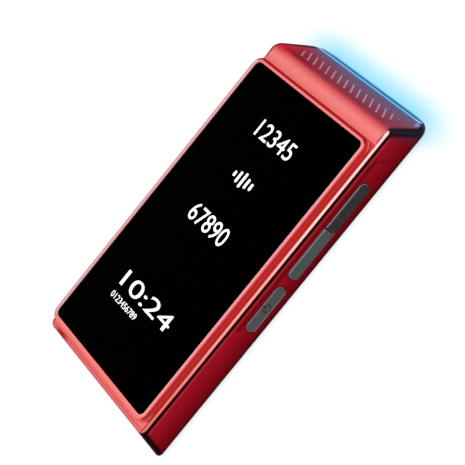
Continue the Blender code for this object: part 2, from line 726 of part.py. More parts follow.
def build_rear_cover(material):
    """A dish with rounded edges, a locating lip and seats for the camera, flash and motor."""
    levels = body_levels(cover_rim_depth, BODY_THICKNESS)
    rings = [outer_ring(depth) for depth in reversed(levels)]
    lip_offset = WALL + SEAT_GAP
    lip_depth = cover_rim_depth - LIP_HEIGHT
    inner_offset = lip_offset + LIP_THICKNESS
    floor_depth = BODY_THICKNESS - floor_z
    rings.append(flat_ring(offset_outline(cover_rim_depth, lip_offset), to_z(cover_rim_depth)))
    rings.append(flat_ring(offset_outline(lip_depth, lip_offset), to_z(lip_depth)))
    rings.append(flat_ring(offset_outline(lip_depth, inner_offset), to_z(lip_depth)))
    rings.append(flat_ring(offset_outline(cover_rim_depth, inner_offset), to_z(cover_rim_depth)))
    rings.append(flat_ring(offset_outline(floor_depth, inner_offset), floor_z))
    cover = loft("rear_cover", rings, material)

    # The light bar takes the place of the rim round the head
    seat = plain_box(
        "light_bar_seat",
        (-body_x - OVERRUN, to_y(bar_end) - SEAT_GAP, to_z(cover_rim_depth + BAR_HEIGHT + SEAT_GAP)),
        (body_x + OVERRUN, to_y(body_head) + OVERRUN, to_z(lip_depth) + OVERRUN),
    )
    combine(cover, seat, "DIFFERENCE")

    raised = []
    holes = []
    for x, along in screw_places.values():
        centre = (x, to_y(along))
        steps = [(BOSS_RADIUS, floor_z - OVERRUN), (BOSS_RADIUS, boss_low - SEAT_GAP)]
        raised.append(turned("cover_boss", centre, steps, ROUND_SIDES))
        bore = SCREW_HEAD_RADIUS + SEAT_GAP
        holes.append(stepped_hole(centre, bore, counterbore_depth, boss_hole_radius, boss_low))

    # Camera pocket: a square wall round the module, over a stepped hole for its window
    middle = Vector((CAMERA_X, to_y(CAMERA_ALONG), 0))
    half = CAMERA_BODY / 2 + SEAT_GAP
    outer = Vector((half + CAMERA_POCKET_WALL, half + CAMERA_POCKET_WALL, 0))
    low = middle - outer + Vector((0, 0, floor_z - OVERRUN))
    high = middle + outer + Vector((0, 0, floor_z + CAMERA_POCKET_HEIGHT))
    raised.append(block("camera_pocket", low, high, CAMERA_POCKET_WALL))
    low = middle - Vector((half, half, -floor_z))
    high = middle + Vector((half, half, floor_z + CAMERA_POCKET_HEIGHT + OVERRUN))
    insides = [plain_box("camera_pocket_inside", low, high)]
    window_seat = WINDOW_SINK + WINDOW_THICKNESS + SEAT_GAP
    top = floor_z + OVERRUN
    barrel = CAMERA_BARREL_RADIUS + SEAT_GAP
    holes.append(stepped_hole(middle, WINDOW_RADIUS + SEAT_GAP, window_seat, barrel, top))
    flash = (FLASH_X, to_y(CAMERA_ALONG))
    stem = FLASH_STEM_RADIUS + SEAT_GAP
    holes.append(stepped_hole(flash, FLASH_RADIUS + SEAT_GAP, window_seat, stem, top))

    # Ring that holds the vibration motor
    motor = (MOTOR_X, to_y(MOTOR_ALONG))
    inner = MOTOR_RADIUS + SEAT_GAP
    steps = [(inner + MOTOR_RING, floor_z - OVERRUN), (inner + MOTOR_RING, floor_z + MOTOR_RING_HEIGHT)]
    raised.append(turned("motor_ring", motor, steps, ROUND_SIDES))
    steps = [(inner, floor_z), (inner, floor_z + MOTOR_RING_HEIGHT + OVERRUN)]
    insides.append(turned("motor_ring_inside", motor, steps, ROUND_SIDES))

    combine(cover, gather("cover_raised", raised), "UNION")
    combine(cover, gather("cover_insides", insides), "DIFFERENCE")
    combine(cover, gather("cover_holes", holes), "DIFFERENCE")
    return cover


def stepped_hole(centre, outer_radius, seat_z, inner_radius, top):
    """A cutter for a hole from the rear face that narrows at a seat."""
    steps = [(outer_radius, -OVERRUN), (outer_radius, seat_z), (inner_radius, seat_z), (inner_radius, top)]
    return turned("stepped_hole", centre, steps, ROUND_SIDES)


# The light bar turns both corners of the head and ends a little way down each side
bar_top_depth = cover_rim_depth
bar_low_depth = cover_rim_depth + BAR_HEIGHT
bar_end = head_line(bar_top_depth) - HEAD_CORNER_BACK - BAR_RETURN


def bar_strip(depth, offset):
    """The head's part of the body's outline at a depth, from the right end to the left end."""
    outline = offset_outline(depth, offset)
    head_points = outline[CORNER_STEPS + 1:3 * (CORNER_STEPS + 1)]
    half_x = side_x(depth) - offset
    ends = [Vector((half_x, to_y(bar_end))), Vector((-half_x, to_y(bar_end)))]
    return [Vector((point.x, point.y, to_z(depth))) for point in [ends[0], *head_points, ends[1]]]


def build_light_bar(material):
    """A strip with a four-sided section swept round the head, flush with the outer shape."""
    middle_depth = (bar_top_depth + bar_low_depth) / 2
    strips = [
        bar_strip(bar_low_depth, 0),
        bar_strip(middle_depth, 0),
        bar_strip(bar_top_depth, 0),
        bar_strip(bar_top_depth, BAR_DEPTH),
        bar_strip(bar_low_depth, BAR_DEPTH),
    ]
    sections = [list(section) for section in zip(*strips)]
    return loft("light_bar", sections, material)


def build_light_board(material):
    edge = to_y(head_line(bar_top_depth) - BAR_DEPTH / math.cos(head_angle)) - SEAT_GAP
    low = floor_z + SEAT_GAP
    top = low + LIGHT_BOARD_THICKNESS
    board = plain_box(
        "light_board",
        (-LIGHT_BOARD_WIDTH / 2, edge - LIGHT_BOARD_DEPTH, low),
        (LIGHT_BOARD_WIDTH / 2, edge, top),
        material,
    )
    pitch = LIGHT_BOARD_WIDTH / DIODE_COUNT
    for index in range(DIODE_COUNT):
        x = pitch * (index - (DIODE_COUNT - 1) / 2)
        diode = plain_box(
            "diode_" + str(index + 1),
            (x - DIODE_LENGTH / 2, edge - DIODE_DEPTH - SEAT_GAP, top - DIODE_SINK),
            (x + DIODE_LENGTH / 2, edge - SEAT_GAP, top + DIODE_HEIGHT),
        )
        combine(board, diode, "UNION")
    return board


def build_display(glass_material, panel_material, gasket_material, frame_material):
    radius = GLASS_CORNER
    inset = GLASS_CHAMFER
    small = display_outline(half_glass_x - inset, half_glass_y - inset, radius - inset)
    full = display_outline(half_glass_x, half_glass_y, radius)
    rings = [
        flat_ring(full, to_z(GLASS_THICKNESS)),
        flat_ring(full, to_z(inset)),
        flat_ring(small, to_z(0)),
    ]
    loft("display_glass", rings, glass_material)

    panel = hidden_outline(ledge_x - SEAT_GAP, ledge_y - SEAT_GAP, LEDGE_CORNER)
    loft("display_panel", [flat_ring(panel, panel_low), flat_ring(panel, panel_top)], panel_material)

    outer_x = half_glass_x - GASKET_MARGIN
    outer_y = half_glass_y - GASKET_MARGIN
    outer = hidden_outline(outer_x, outer_y, GLASS_CORNER)
    inner = hidden_outline(ledge_x + GASKET_MARGIN, ledge_y + GASKET_MARGIN, LEDGE_CORNER)
    gasket_low = gasket_top - GASKET_THICKNESS
    rings = [
        flat_ring(outer, gasket_low),
        flat_ring(outer, gasket_top),
        flat_ring(inner, gasket_top),
        flat_ring(inner, gasket_low),
    ]
    loft("display_gasket", rings, gasket_material, closed=True)

    tray = hidden_outline(tray_x, tray_y, LEDGE_CORNER)
    recess = hidden_outline(recess_x, recess_y, LEDGE_CORNER)
    plate = hidden_outline(plate_x, plate_y, FRAME_CORNER)
    rings = [
        flat_ring(recess, tray_low),
        flat_ring(recess, flange_low),
        flat_ring(plate, flange_low),
        flat_ring(plate, flange_top),
        flat_ring(tray, flange_top),
        flat_ring(tray, tray_top),
    ]
    loft("display_frame", rings, frame_material)


def build_speaker(mesh_material, speaker_material):
    """The cloth and the speaker lie square to the slanted face, right behind the grille."""
    middle = GRILLE_START + GRILLE_HEIGHT / 2
    mesh_top = -WALL - SEAT_GAP
    mesh_low = mesh_top - MESH_THICKNESS
    half_x = GRILLE_WIDTH / 2 + MESH_MARGIN
    half_y = GRILLE_HEIGHT / 2 + MESH_MARGIN
    low = (-half_x, middle - half_y, mesh_low)
    high = (half_x, middle + half_y, mesh_top)
    block("speaker_mesh", low, high, SLOT_WIDTH, mesh_material, placed=face_matrix)

    top = mesh_low - SEAT_GAP
    half_x = SPEAKER_WIDTH / 2
    half_y = SPEAKER_HEIGHT / 2
    corner = SPEAKER_CORNER
    steps = PLAIN_CORNER_STEPS
    full = rounded_rectangle(half_x, middle - half_y, middle + half_y, corner, corner, steps)
    half_x -= SPEAKER_CONE_INSET
    half_y -= SPEAKER_CONE_INSET
    corner -= SPEAKER_CONE_INSET
    cone = rounded_rectangle(half_x, middle - half_y, middle + half_y, corner, corner, steps)
    rings = [
        flat_ring(full, top - SPEAKER_THICKNESS),
        flat_ring(full, top),
        flat_ring(cone, top),
        flat_ring(cone, top - SPEAKER_CONE_DEPTH),
    ]
    loft("speaker", rings, speaker_material, placed=face_matrix)


def build_key(name, low, high, low_radius, high_radius, ends, material):
    """A capped key with a holding flange and a plunger; its origin lies on its sliding axis."""
    middle = (low + high) / 2
    low -= middle
    high -= middle
    low_growth, high_growth = ends
    cap = key_outline(low, high, low_radius, high_radius)
    face = key_outline(
        low + KEY_CHAMFER, high - KEY_CHAMFER, low_radius - KEY_CHAMFER, high_radius - KEY_CHAMFER
    )
    face_half = KEY_WIDTH / 2 - KEY_CHAMFER
    face = [Vector((max(-face_half, min(face_half, point.x)), point.y)) for point in face]
    flange = key_outline(
        low, high, low_radius, high_radius, KEY_FLANGE + SEAT_GAP, low_growth, high_growth
    )
    half = KEY_PLUNGER_SIZE / 2
    corner = KEY_SPLIT_CORNER
    plunger = rounded_rectangle(half, -half, half, corner, corner, KEY_CORNER_STEPS)
    origin_x = key_face_x
    rings = [
        side_ring(plunger, plunger_x - origin_x),
        side_ring(plunger, flange_inner_x - origin_x),
        side_ring(flange, flange_inner_x - origin_x),
        side_ring(flange, flange_outer_x - origin_x),
        side_ring(cap, flange_outer_x - origin_x),
        side_ring(cap, -KEY_CHAMFER),
        side_ring(face, 0),
    ]
    return loft(name, rings, material, location=(origin_x, to_y(middle), key_z))


def build_switch(name, along, material):
    """A small switch on the key board, its dome facing the key's plunger."""
    half = SWITCH_SIZE / 2
    dome = SWITCH_DOME / 2
    base_corner = KEY_SPLIT_CORNER
    cap_corner = dome - base_corner
    body = rounded_rectangle(half, -half, half, base_corner, base_corner, PLAIN_CORNER_STEPS)
    cap = rounded_rectangle(dome, -dome, dome, cap_corner, cap_corner, PLAIN_CORNER_STEPS)
    low = switch_x - SWITCH_THICKNESS
    step = switch_x - SWITCH_DOME_HEIGHT
    rings = [side_ring(body, low), side_ring(body, step), side_ring(cap, step), side_ring(cap, switch_x)]
    return loft(name, rings, material, location=(0, to_y(along), key_z))


def build_key_carrier(board_material, bracket_material):
    """The upright key board, and the angle bracket that hangs from the display frame behind it."""
    top = KEYS_TOP + KEY_BOARD_MARGIN
    bottom = power_key_low - KEY_BOARD_MARGIN
    half = KEY_BOARD_HEIGHT / 2
    plain_box(
        "key_board",
        (key_board_x - KEY_BOARD_THICKNESS, to_y(bottom), key_z - half),
        (key_board_x, to_y(top), key_z + half),
        board_material,
    )
    bracket_top = flange_low - SEAT_GAP
    bracket_low = key_z - half - KEY_BRACKET_BELOW
    back = key_bracket_x - KEY_BRACKET_SHEET
    corners = [
        (back, bracket_low),
        (key_bracket_x, bracket_low),
        (key_bracket_x, bracket_top - KEY_BRACKET_SHEET),
        (back + KEY_BRACKET_FOOT, bracket_top - KEY_BRACKET_SHEET),
        (back + KEY_BRACKET_FOOT, bracket_top),
        (back, bracket_top),
    ]
    rings = [[Vector((x, to_y(along), z)) for x, z in corners] for along in (bottom, top)]
    loft("key_bracket", rings, bracket_material)


def build_shield(name, x, along, width, length, top, material):
    """A folded sheet can, open towards the board that carries it."""
    half_x = width / 2
    half_y = length / 2
    corner = SHIELD_CORNER
    steps = PLAIN_CORNER_STEPS
    outer = rounded_rectangle(half_x, -half_y, half_y, corner, corner, steps)
    corner -= SHIELD_SHEET
    inner = rounded_rectangle(
        half_x - SHIELD_SHEET, -half_y + SHIELD_SHEET, half_y - SHIELD_SHEET, corner, corner, steps
    )
    centre = (x, to_y(along))
    rings = [
        flat_ring(outer, top - SHIELD_HEIGHT, centre),
        flat_ring(outer, top, centre),
        flat_ring(inner, top, centre),
        flat_ring(inner, top - SHIELD_HEIGHT + SHIELD_SHEET, centre),
    ]
    loft(name, rings, material)


def build_boards(board_material, shield_material, plastic_material, battery_material):
    """Main board under the display frame's tray, the battery beside it and the antenna carrier."""
    board_top = inner_stack_top
    board_low = board_top - BOARD_THICKNESS
    half = MAIN_BOARD_WIDTH / 2
    low = (-half, to_y(main_board_foot), board_low)
    high = (half, to_y(main_board_head), board_top)
    block("main_board", low, high, BOARD_CORNER, board_material)

    shield_top = board_low - SEAT_GAP
    shield_along = (shield_head + shield_foot) / 2
    shield_length = shield_head - shield_foot
    processor_x = -half + SHIELD_SPACE + PROCESSOR_SHIELD_WIDTH / 2
    radio_x = processor_x + PROCESSOR_SHIELD_WIDTH / 2 + SHIELD_SPACE + RADIO_SHIELD_WIDTH / 2
    shields = (
        ("processor_shield", processor_x, PROCESSOR_SHIELD_WIDTH),
        ("radio_shield", radio_x, RADIO_SHIELD_WIDTH),
    )
    for name, x, width in shields:
        build_shield(name, x, shield_along, width, shield_length, shield_top, shield_material)
    plain_box(
        "battery_connector",
        (processor_x - CONNECTOR_WIDTH / 2, to_y(connector_along), shield_top - CONNECTOR_HEIGHT),
        (processor_x + CONNECTOR_WIDTH / 2, to_y(connector_along + CONNECTOR_LENGTH), shield_top),
        plastic_material,
    )

    half = BATTERY_WIDTH / 2
    low = (-half, to_y(battery_foot), board_top - BATTERY_THICKNESS)
    high = (half, to_y(battery_head), board_top)
    block("battery", low, high, BATTERY_CORNER, battery_material)

    antenna_z = to_z(ANTENNA_DEPTH)
    outer = -inner_x + SEAT_GAP
    plain_box(
        "cellular_antenna",
        (outer, to_y(ANTENNA_ALONG - ANTENNA_LENGTH / 2), antenna_z - ANTENNA_HEIGHT / 2),
        (outer + ANTENNA_THICKNESS, to_y(ANTENNA_ALONG + ANTENNA_LENGTH / 2), antenna_z + ANTENNA_HEIGHT / 2),
        plastic_material,
    )


def build_lower_board(board_material, steel_material, microphone_material):
    half = LOWER_BOARD_WIDTH / 2
    low = (-half, to_y(lower_board_foot), lower_board_low)
    high = (half, to_y(lower_board_foot + LOWER_BOARD_LENGTH), lower_board_top)
    block("lower_board", low, high, BOARD_CORNER, board_material)

    # The socket: an open shell with a tongue on its back wall
    mouth_y = to_y(foot_line(USB_DEPTH - USB_HEIGHT / 2)) + USB_INSET
    back_y = mouth_y + USB_LENGTH
    inner_back_y = back_y - USB_BACK
    shell = (USB_WIDTH / 2, USB_HEIGHT / 2)
    bore = (shell[0] - USB_SHELL, shell[1] - USB_SHELL)
    tongue = (USB_TONGUE_WIDTH / 2, USB_TONGUE_HEIGHT / 2)
    steps = [
        (shell, back_y),
        (shell, mouth_y),
        (bore, mouth_y),
        (bore, inner_back_y),
        (tongue, inner_back_y),
        (tongue, inner_back_y - USB_TONGUE_LENGTH),
    ]
    rings = []
    for (half_width, half_height), y in steps:
        radius = half_height - USB_SIDE_FLAT / 2
        outline = rounded_rectangle(
            half_width, -half_height, half_height, radius, radius, KEY_CORNER_STEPS
        )
        rings.append([Vector((point.x, y, usb_z + point.y)) for point in outline])
    loft("usb_c_socket", rings, steel_material)

    mic_foot = foot_line(BODY_THICKNESS - mic_top) + WALL / math.cos(foot_angle) + SEAT_GAP
    for name, x in (("right_microphone", MIC_X), ("left_microphone", -MIC_X)):
        low = (x - MIC_WIDTH / 2, to_y(mic_foot), mic_top - MIC_HEIGHT)
        high = (x + MIC_WIDTH / 2, to_y(mic_foot + MIC_LENGTH), mic_top)
        plain_box(name, low, high, microphone_material)


def build_rear_pieces(glass_material, plastic_material, steel_material):
    centre = (CAMERA_X, to_y(CAMERA_ALONG))
    window_low = WINDOW_SINK
    window_top = window_low + WINDOW_THICKNESS
    steps = [(WINDOW_RADIUS, window_low), (WINDOW_RADIUS, window_top)]
    turned("camera_window", centre, steps, ROUND_SIDES, glass_material)

    half = CAMERA_BODY / 2
    body_low = floor_z + SEAT_GAP
    barrel_low = window_top + SEAT_GAP
    square = rounded_rectangle(half, -half, half, MIN_INNER_CORNER, MIN_INNER_CORNER)
    barrel = circle(CAMERA_BARREL_RADIUS, len(square))
    turn = Matrix.Rotation(-math.pi / 4, 2)
    barrel = [turn @ point for point in barrel]
    rings = [
        flat_ring(barrel, barrel_low, centre),
        flat_ring(barrel, body_low, centre),
        flat_ring(square, body_low, centre),
        flat_ring(square, body_low + CAMERA_HEIGHT, centre),
    ]
    loft("camera_module", rings, plastic_material)

    steps = [
        (FLASH_RADIUS, window_low),
        (FLASH_RADIUS, window_top),
        (FLASH_STEM_RADIUS, window_top),
        (FLASH_STEM_RADIUS, floor_z),
    ]
    turned("flash_lens", (FLASH_X, to_y(CAMERA_ALONG)), steps, SMALL_SIDES, glass_material)

    low = floor_z + SEAT_GAP
    steps = [(MOTOR_RADIUS, low), (MOTOR_RADIUS, low + MOTOR_HEIGHT)]
    turned("vibration_motor", (MOTOR_X, to_y(MOTOR_ALONG)), steps, ROUND_SIDES, steel_material)


def build_screws(material):
    head_top = SCREW_HEAD_SINK + SCREW_HEAD_HEIGHT
    steps = [
        (SCREW_HEAD_RADIUS, SCREW_HEAD_SINK),
        (SCREW_HEAD_RADIUS, head_top),
        (SCREW_SHANK_RADIUS, head_top),
        (SCREW_SHANK_RADIUS, head_top + SCREW_LENGTH),
    ]
    for place, (x, along) in screw_places.items():
        turned("screw_" + place, (x, to_y(along)), steps, SMALL_SIDES, material)


def build():
    remove_everything()
    red = make_material("red_plastic", (0.55, 0.03, 0.04), 0.35)
    dark_red = make_material("dark_red_plastic", (0.10, 0.01, 0.015), 0.45)
    glass = make_material("black_glass", (0.004, 0.004, 0.005), 0.05)
    clear = make_material("clear_plastic", (0.45, 0.75, 0.95), 0.3, transmission=0.5)
    key_plastic = make_material("grey_key_plastic", (0.07, 0.075, 0.075), 0.4)
    black = make_material("black_plastic", (0.02, 0.02, 0.022), 0.5)
    foam = make_material("black_foam", (0.02, 0.02, 0.02), 0.9)
    steel = make_material("bright_steel", (0.6, 0.6, 0.6), 0.3, 1.0)
    board = make_material("green_board", (0.01, 0.12, 0.06), 0.5)
    silver = make_material("panel_back", (0.5, 0.5, 0.52), 0.35, 0.6)
    foil = make_material("battery_foil", (0.06, 0.06, 0.065), 0.45)

    build_front_housing(red)
    build_rear_cover(dark_red)
    build_light_bar(clear)
    build_light_board(board)
    build_display(glass, silver, foam, steel)
    build_speaker(foam, black)

    keys = (
        ("upper_translate", upper_key_low, KEYS_TOP, KEY_SPLIT_CORNER, KEY_CORNER, (0, KEY_FLANGE)),
        ("lower_translate", lower_key_low, lower_key_top, KEY_CORNER, KEY_SPLIT_CORNER, (KEY_FLANGE, 0)),
        ("power", power_key_low, power_key_top, KEY_CORNER, KEY_CORNER, (KEY_FLANGE, KEY_FLANGE)),
    )
    for name, low, high, low_radius, high_radius, ends in keys:
        build_key(name + "_key", low, high, low_radius, high_radius, ends, key_plastic)
        build_switch(name + "_key_switch", (low + high) / 2, steel)
    build_key_carrier(board, steel)
    build_boards(board, steel, black, foil)
    build_lower_board(board, steel, steel)
    build_rear_pieces(glass, black, steel)
    build_screws(steel)


build()
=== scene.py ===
import math

import bpy
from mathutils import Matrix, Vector


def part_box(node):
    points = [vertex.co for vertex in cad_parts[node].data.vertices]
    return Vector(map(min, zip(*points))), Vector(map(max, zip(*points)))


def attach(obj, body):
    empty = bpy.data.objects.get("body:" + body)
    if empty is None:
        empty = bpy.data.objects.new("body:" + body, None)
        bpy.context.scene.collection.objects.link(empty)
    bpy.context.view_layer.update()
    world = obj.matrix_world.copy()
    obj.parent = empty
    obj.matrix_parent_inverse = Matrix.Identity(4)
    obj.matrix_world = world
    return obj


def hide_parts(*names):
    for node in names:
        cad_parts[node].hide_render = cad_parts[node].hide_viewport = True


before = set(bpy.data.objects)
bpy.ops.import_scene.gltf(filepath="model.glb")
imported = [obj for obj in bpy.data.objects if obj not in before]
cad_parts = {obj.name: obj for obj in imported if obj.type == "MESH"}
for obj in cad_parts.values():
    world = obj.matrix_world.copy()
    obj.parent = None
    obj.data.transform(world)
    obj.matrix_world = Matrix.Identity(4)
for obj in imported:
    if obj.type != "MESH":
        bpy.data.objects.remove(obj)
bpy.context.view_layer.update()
scene = bpy.context.scene
scene.view_settings.view_transform = "Standard"
mm = 0.001
black = (0, 0, 0, 1)
white = (1, 1, 1, 1)


def tone(red, green, blue):
    # a colour as it reads on screen, 0 to 255, turned to the shader's own numbers
    parts = []
    for part in (red, green, blue):
        share = part / 255
        parts.append(share / 12.92 if share <= 0.04045 else ((share + 0.055) / 1.055) ** 2.4)
    return (*parts, 1)


# camera, solved on the corners of the display glass: metres, degrees, and millimetres for the lens
cameraSetup = {
    "place": (0.38516, 0.04882, 0.38931),
    "turn": (29.760, 36.209, 51.017),
    "lens": 121.394,
    "sensor": 36,
    "nearest": 0.01,
}
cameraData = bpy.data.cameras.new("camera")
cameraData.lens = cameraSetup["lens"]
cameraData.sensor_width = cameraSetup["sensor"]
cameraData.clip_start = cameraSetup["nearest"]
camera = bpy.data.objects.new("camera", cameraData)
camera.location = cameraSetup["place"]
camera.rotation_euler = [math.radians(angle) for angle in cameraSetup["turn"]]
scene.collection.objects.link(camera)
scene.camera = camera
print("stage: camera ready")


# node helpers
def feed(tree, node, inputs):
    for socket, value in inputs.items():
        if isinstance(value, bpy.types.NodeSocket):
            tree.links.new(value, node.inputs[socket])
        else:
            node.inputs[socket].default_value = value


def addNode(tree, kind, inputs=None, **settings):
    node = tree.nodes.new(kind)
    for key, value in settings.items():
        setattr(node, key, value)
    feed(tree, node, inputs or {})
    return node


def startMaterial(name):
    material = bpy.data.materials.new(name)
    material.use_nodes = True
    tree = material.node_tree
    coords = addNode(tree, "ShaderNodeTexCoord").outputs["Object"]
    return material, tree, tree.nodes["Principled BSDF"], coords


def calc(tree, operation, first, second=0.0):
    return addNode(tree, "ShaderNodeMath", {0: first, 1: second}, operation=operation).outputs[0]


def shifted(tree, value, other, share):
    # the value, moved on by a share of another
    return calc(tree, "ADD", value, calc(tree, "MULTIPLY", other, share))


def distance(tree, first, second):
    squares = [calc(tree, "MULTIPLY", part, part) for part in (first, second)]
    return calc(tree, "SQRT", calc(tree, "ADD", *squares))


def fade(tree, value, start, end):
    # 0 at the start, 1 at the end and soft between; the start may be the higher one
    falling = start > end
    return addNode(tree, "ShaderNodeMapRange", {
        "Value": value, "From Min": min(start, end), "From Max": max(start, end),
        "To Min": float(falling), "To Max": float(not falling),
    }, interpolation_type="SMOOTHSTEP").outputs["Result"]


def band(tree, value, low, high, soft):
    # 1 between low and high, soft at both sides
    rise = fade(tree, value, low - soft, low + soft)
    return calc(tree, "MULTIPLY", rise, fade(tree, value, high + soft, high - soft))


def spotsOf(tree, coords):
    # where a point is, in millimetres, and which way it faces; off and turn take no side
    scaled = addNode(tree, "ShaderNodeVectorMath", {0: coords, "Scale": 1 / mm}, operation="SCALE")
    x, y, z = addNode(tree, "ShaderNodeSeparateXYZ", {0: scaled.outputs[0]}).outputs
    normal = addNode(tree, "ShaderNodeNewGeometry").outputs["Normal"]
    across, along, up = addNode(tree, "ShaderNodeSeparateXYZ", {0: normal}).outputs
    return {
        "x": x, "y": y, "z": z, "off": calc(tree, "ABSOLUTE", x),
        "across": across, "along": along, "up": up, "turn": calc(tree, "ABSOLUTE", across),
    }


# colour is laid on in layers: a surface is a plain tone, or a dictionary of a base and the layers
# over it, and a layer is a surface and the parts of its mask, which all have to meet:
#   ("spot", start, end)       nothing at the start, all of it at the end
#   ("spot", low, high, soft)  a band between low and high
#   [part, part]               any of them
#   "spot"                     a value that is a mask already
#   0.6                        a share
def maskOf(tree, spots, part):
    if isinstance(part, float):
        return part
    if isinstance(part, str):
        return spots[part]
    if isinstance(part, list):
        return anyOf(tree, *[maskOf(tree, spots, choice) for choice in part])
    spot, *limits = part
    soften = band if len(limits) == 3 else fade
    return soften(tree, spots[spot], *limits)


def anyOf(tree, first, *others):
    for other in others:
        first = calc(tree, "MAXIMUM", first, other)
    return first


def allOf(tree, spots, *parts):
    first, *others = [maskOf(tree, spots, part) for part in parts]
    for other in others:
        first = calc(tree, "MULTIPLY", first, other)
    return first


def paint(tree, spots, surface):
    if not isinstance(surface, dict):  # a tone, or a colour that is ready
        return surface
    base, *layers = surface.values()
    colour = paint(tree, spots, base)
    for over, *parts in layers:
        inputs = {0: allOf(tree, spots, *parts), 6: colour, 7: paint(tree, spots, over)}
        colour = addNode(tree, "ShaderNodeMix", inputs, data_type="RGBA").outputs[2]
    return colour


def newGroup(name, values, results):
    # a group that takes a place and some values, and puts out other values
    group = bpy.data.node_groups.new(name, "ShaderNodeTree")
    makeSocket = group.interface.new_socket
    makeSocket(name="Place", in_out="INPUT", socket_type="NodeSocketVector")
    for key, value in values.items():
        socket = makeSocket(name=key, in_out="INPUT", socket_type="NodeSocketFloat")
        socket.default_value = value
    for key in results:
        makeSocket(name=key, in_out="OUTPUT", socket_type="NodeSocketFloat")
    return group, group.nodes.new("NodeGroupInput").outputs, group.nodes.new("NodeGroupOutput")


# fine moulded grain: a faint roughness change and a small height
grainGroup, grainIn, grainOut = newGroup(
    "mouldedGrain", {"Grain": 2600.0, "Roughness": 0.4, "Spread": 0.08},
    ["Roughness", "Height", "Mottle"])
fineNoise = addNode(grainGroup, "ShaderNodeTexNoise", {
    "Vector": grainIn["Place"], "Scale": grainIn["Grain"], "Detail": 3.0})
broadNoise = addNode(grainGroup, "ShaderNodeTexNoise", {
    "Vector": grainIn["Place"], "Scale": 60.0, "Detail": 4.0, "Roughness": 0.6})
centred = calc(grainGroup, "SUBTRACT", broadNoise.outputs[0], 0.5)
feed(grainGroup, grainOut, {
    "Roughness": shifted(grainGroup, grainIn["Roughness"], centred, grainIn["Spread"]),
    "Height": fineNoise.outputs[0], "Mottle": broadNoise.outputs[0]})

# uneven gloss: soft patches between two values
patchGroup, patchIn, patchOut = newGroup(
    "unevenGloss", {"Scale": 40.0, "Low": 0.3, "High": 0.45}, ["Value"])
patchNoise = addNode(patchGroup, "ShaderNodeTexNoise", {
    "Vector": patchIn["Place"], "Scale": patchIn["Scale"], "Detail": 2.0})
patchRange = addNode(patchGroup, "ShaderNodeMapRange", {
    "Value": patchNoise.outputs[0], "To Min": patchIn["Low"], "To Max": patchIn["High"]})
feed(patchGroup, patchOut, {"Value": patchRange.outputs[0]})

reliefDepth = 0.00002  # metres, at a bump's full strength


def addGrain(tree, shader, coords, grain, roughness, depth, spread=0.08):
    node = addNode(tree, "ShaderNodeGroup", {
        "Place": coords, "Grain": grain, "Roughness": roughness, "Spread": spread,
    }, node_tree=grainGroup)
    bump = addNode(tree, "ShaderNodeBump", {
        "Strength": depth, "Distance": reliefDepth, "Height": node.outputs["Height"]})
    feed(tree, shader, {"Roughness": node.outputs["Roughness"], "Normal": bump.outputs[0]})
    return node.outputs["Mottle"]


def addPatches(tree, coords, scale, low, high):
    inputs = {"Place": coords, "Scale": scale, "Low": low, "High": high}
    return addNode(tree, "ShaderNodeGroup", inputs, node_tree=patchGroup).outputs["Value"]


def seenDirectly(tree):
    # 1 where the eye, a gloss or a clear surface looks straight at the background
    path = addNode(tree, "ShaderNodeLightPath").outputs
    return anyOf(tree, path["Is Camera Ray"], path["Is Glossy Ray"], path["Is Transmission Ray"])


# the red front shell: coral where it faces up, from a painted highlight, crimson on the walls, and
# deep in the fillets from painted shade and dark reflections.
# Lines in millimetres; a lean is a line's shift for each millimetre down, up or inward
shellLines = {
    "side": 35.6, "shoulder": 17.0, "stripTop": 3.3, "stripLean": -0.6,
    "head": 63.008, "headLean": -0.56, "foot": -67.04, "footLean": 0.31, "cornerLean": -0.57,
    "glassAcross": 32.55, "glassAlong": 57.85, "glassMiddle": -4.092, "glassCorner": 2.0,
    "edgeWidening": 0.35, "outline": 32.2, "outlineLean": -0.2, "outlineTop": 1.5,
    "creamDip": 0.08, "darkDip": 0.4, "footRise": -0.15,
}
# mask parts and tones that several of its surfaces share
leftSide = ("x", -28.0, -32.0)
rightSide = ("x", 20.0, 28.0)
belowShoulder = ("z", 17.02, 16.95)
rimEnds = ("ends", -1.5, 0.9)
headRim = (rimEnds, ("y", 0.0, 10.0))
footRim = (rimEnds, ("y", 0.0, -10.0))
# painted shade along the far corner's outline, and the foot rim's coral, a painted highlight
farOutlineShade = tone(56, 8, 20)
footRimTone = tone(240, 124, 120)


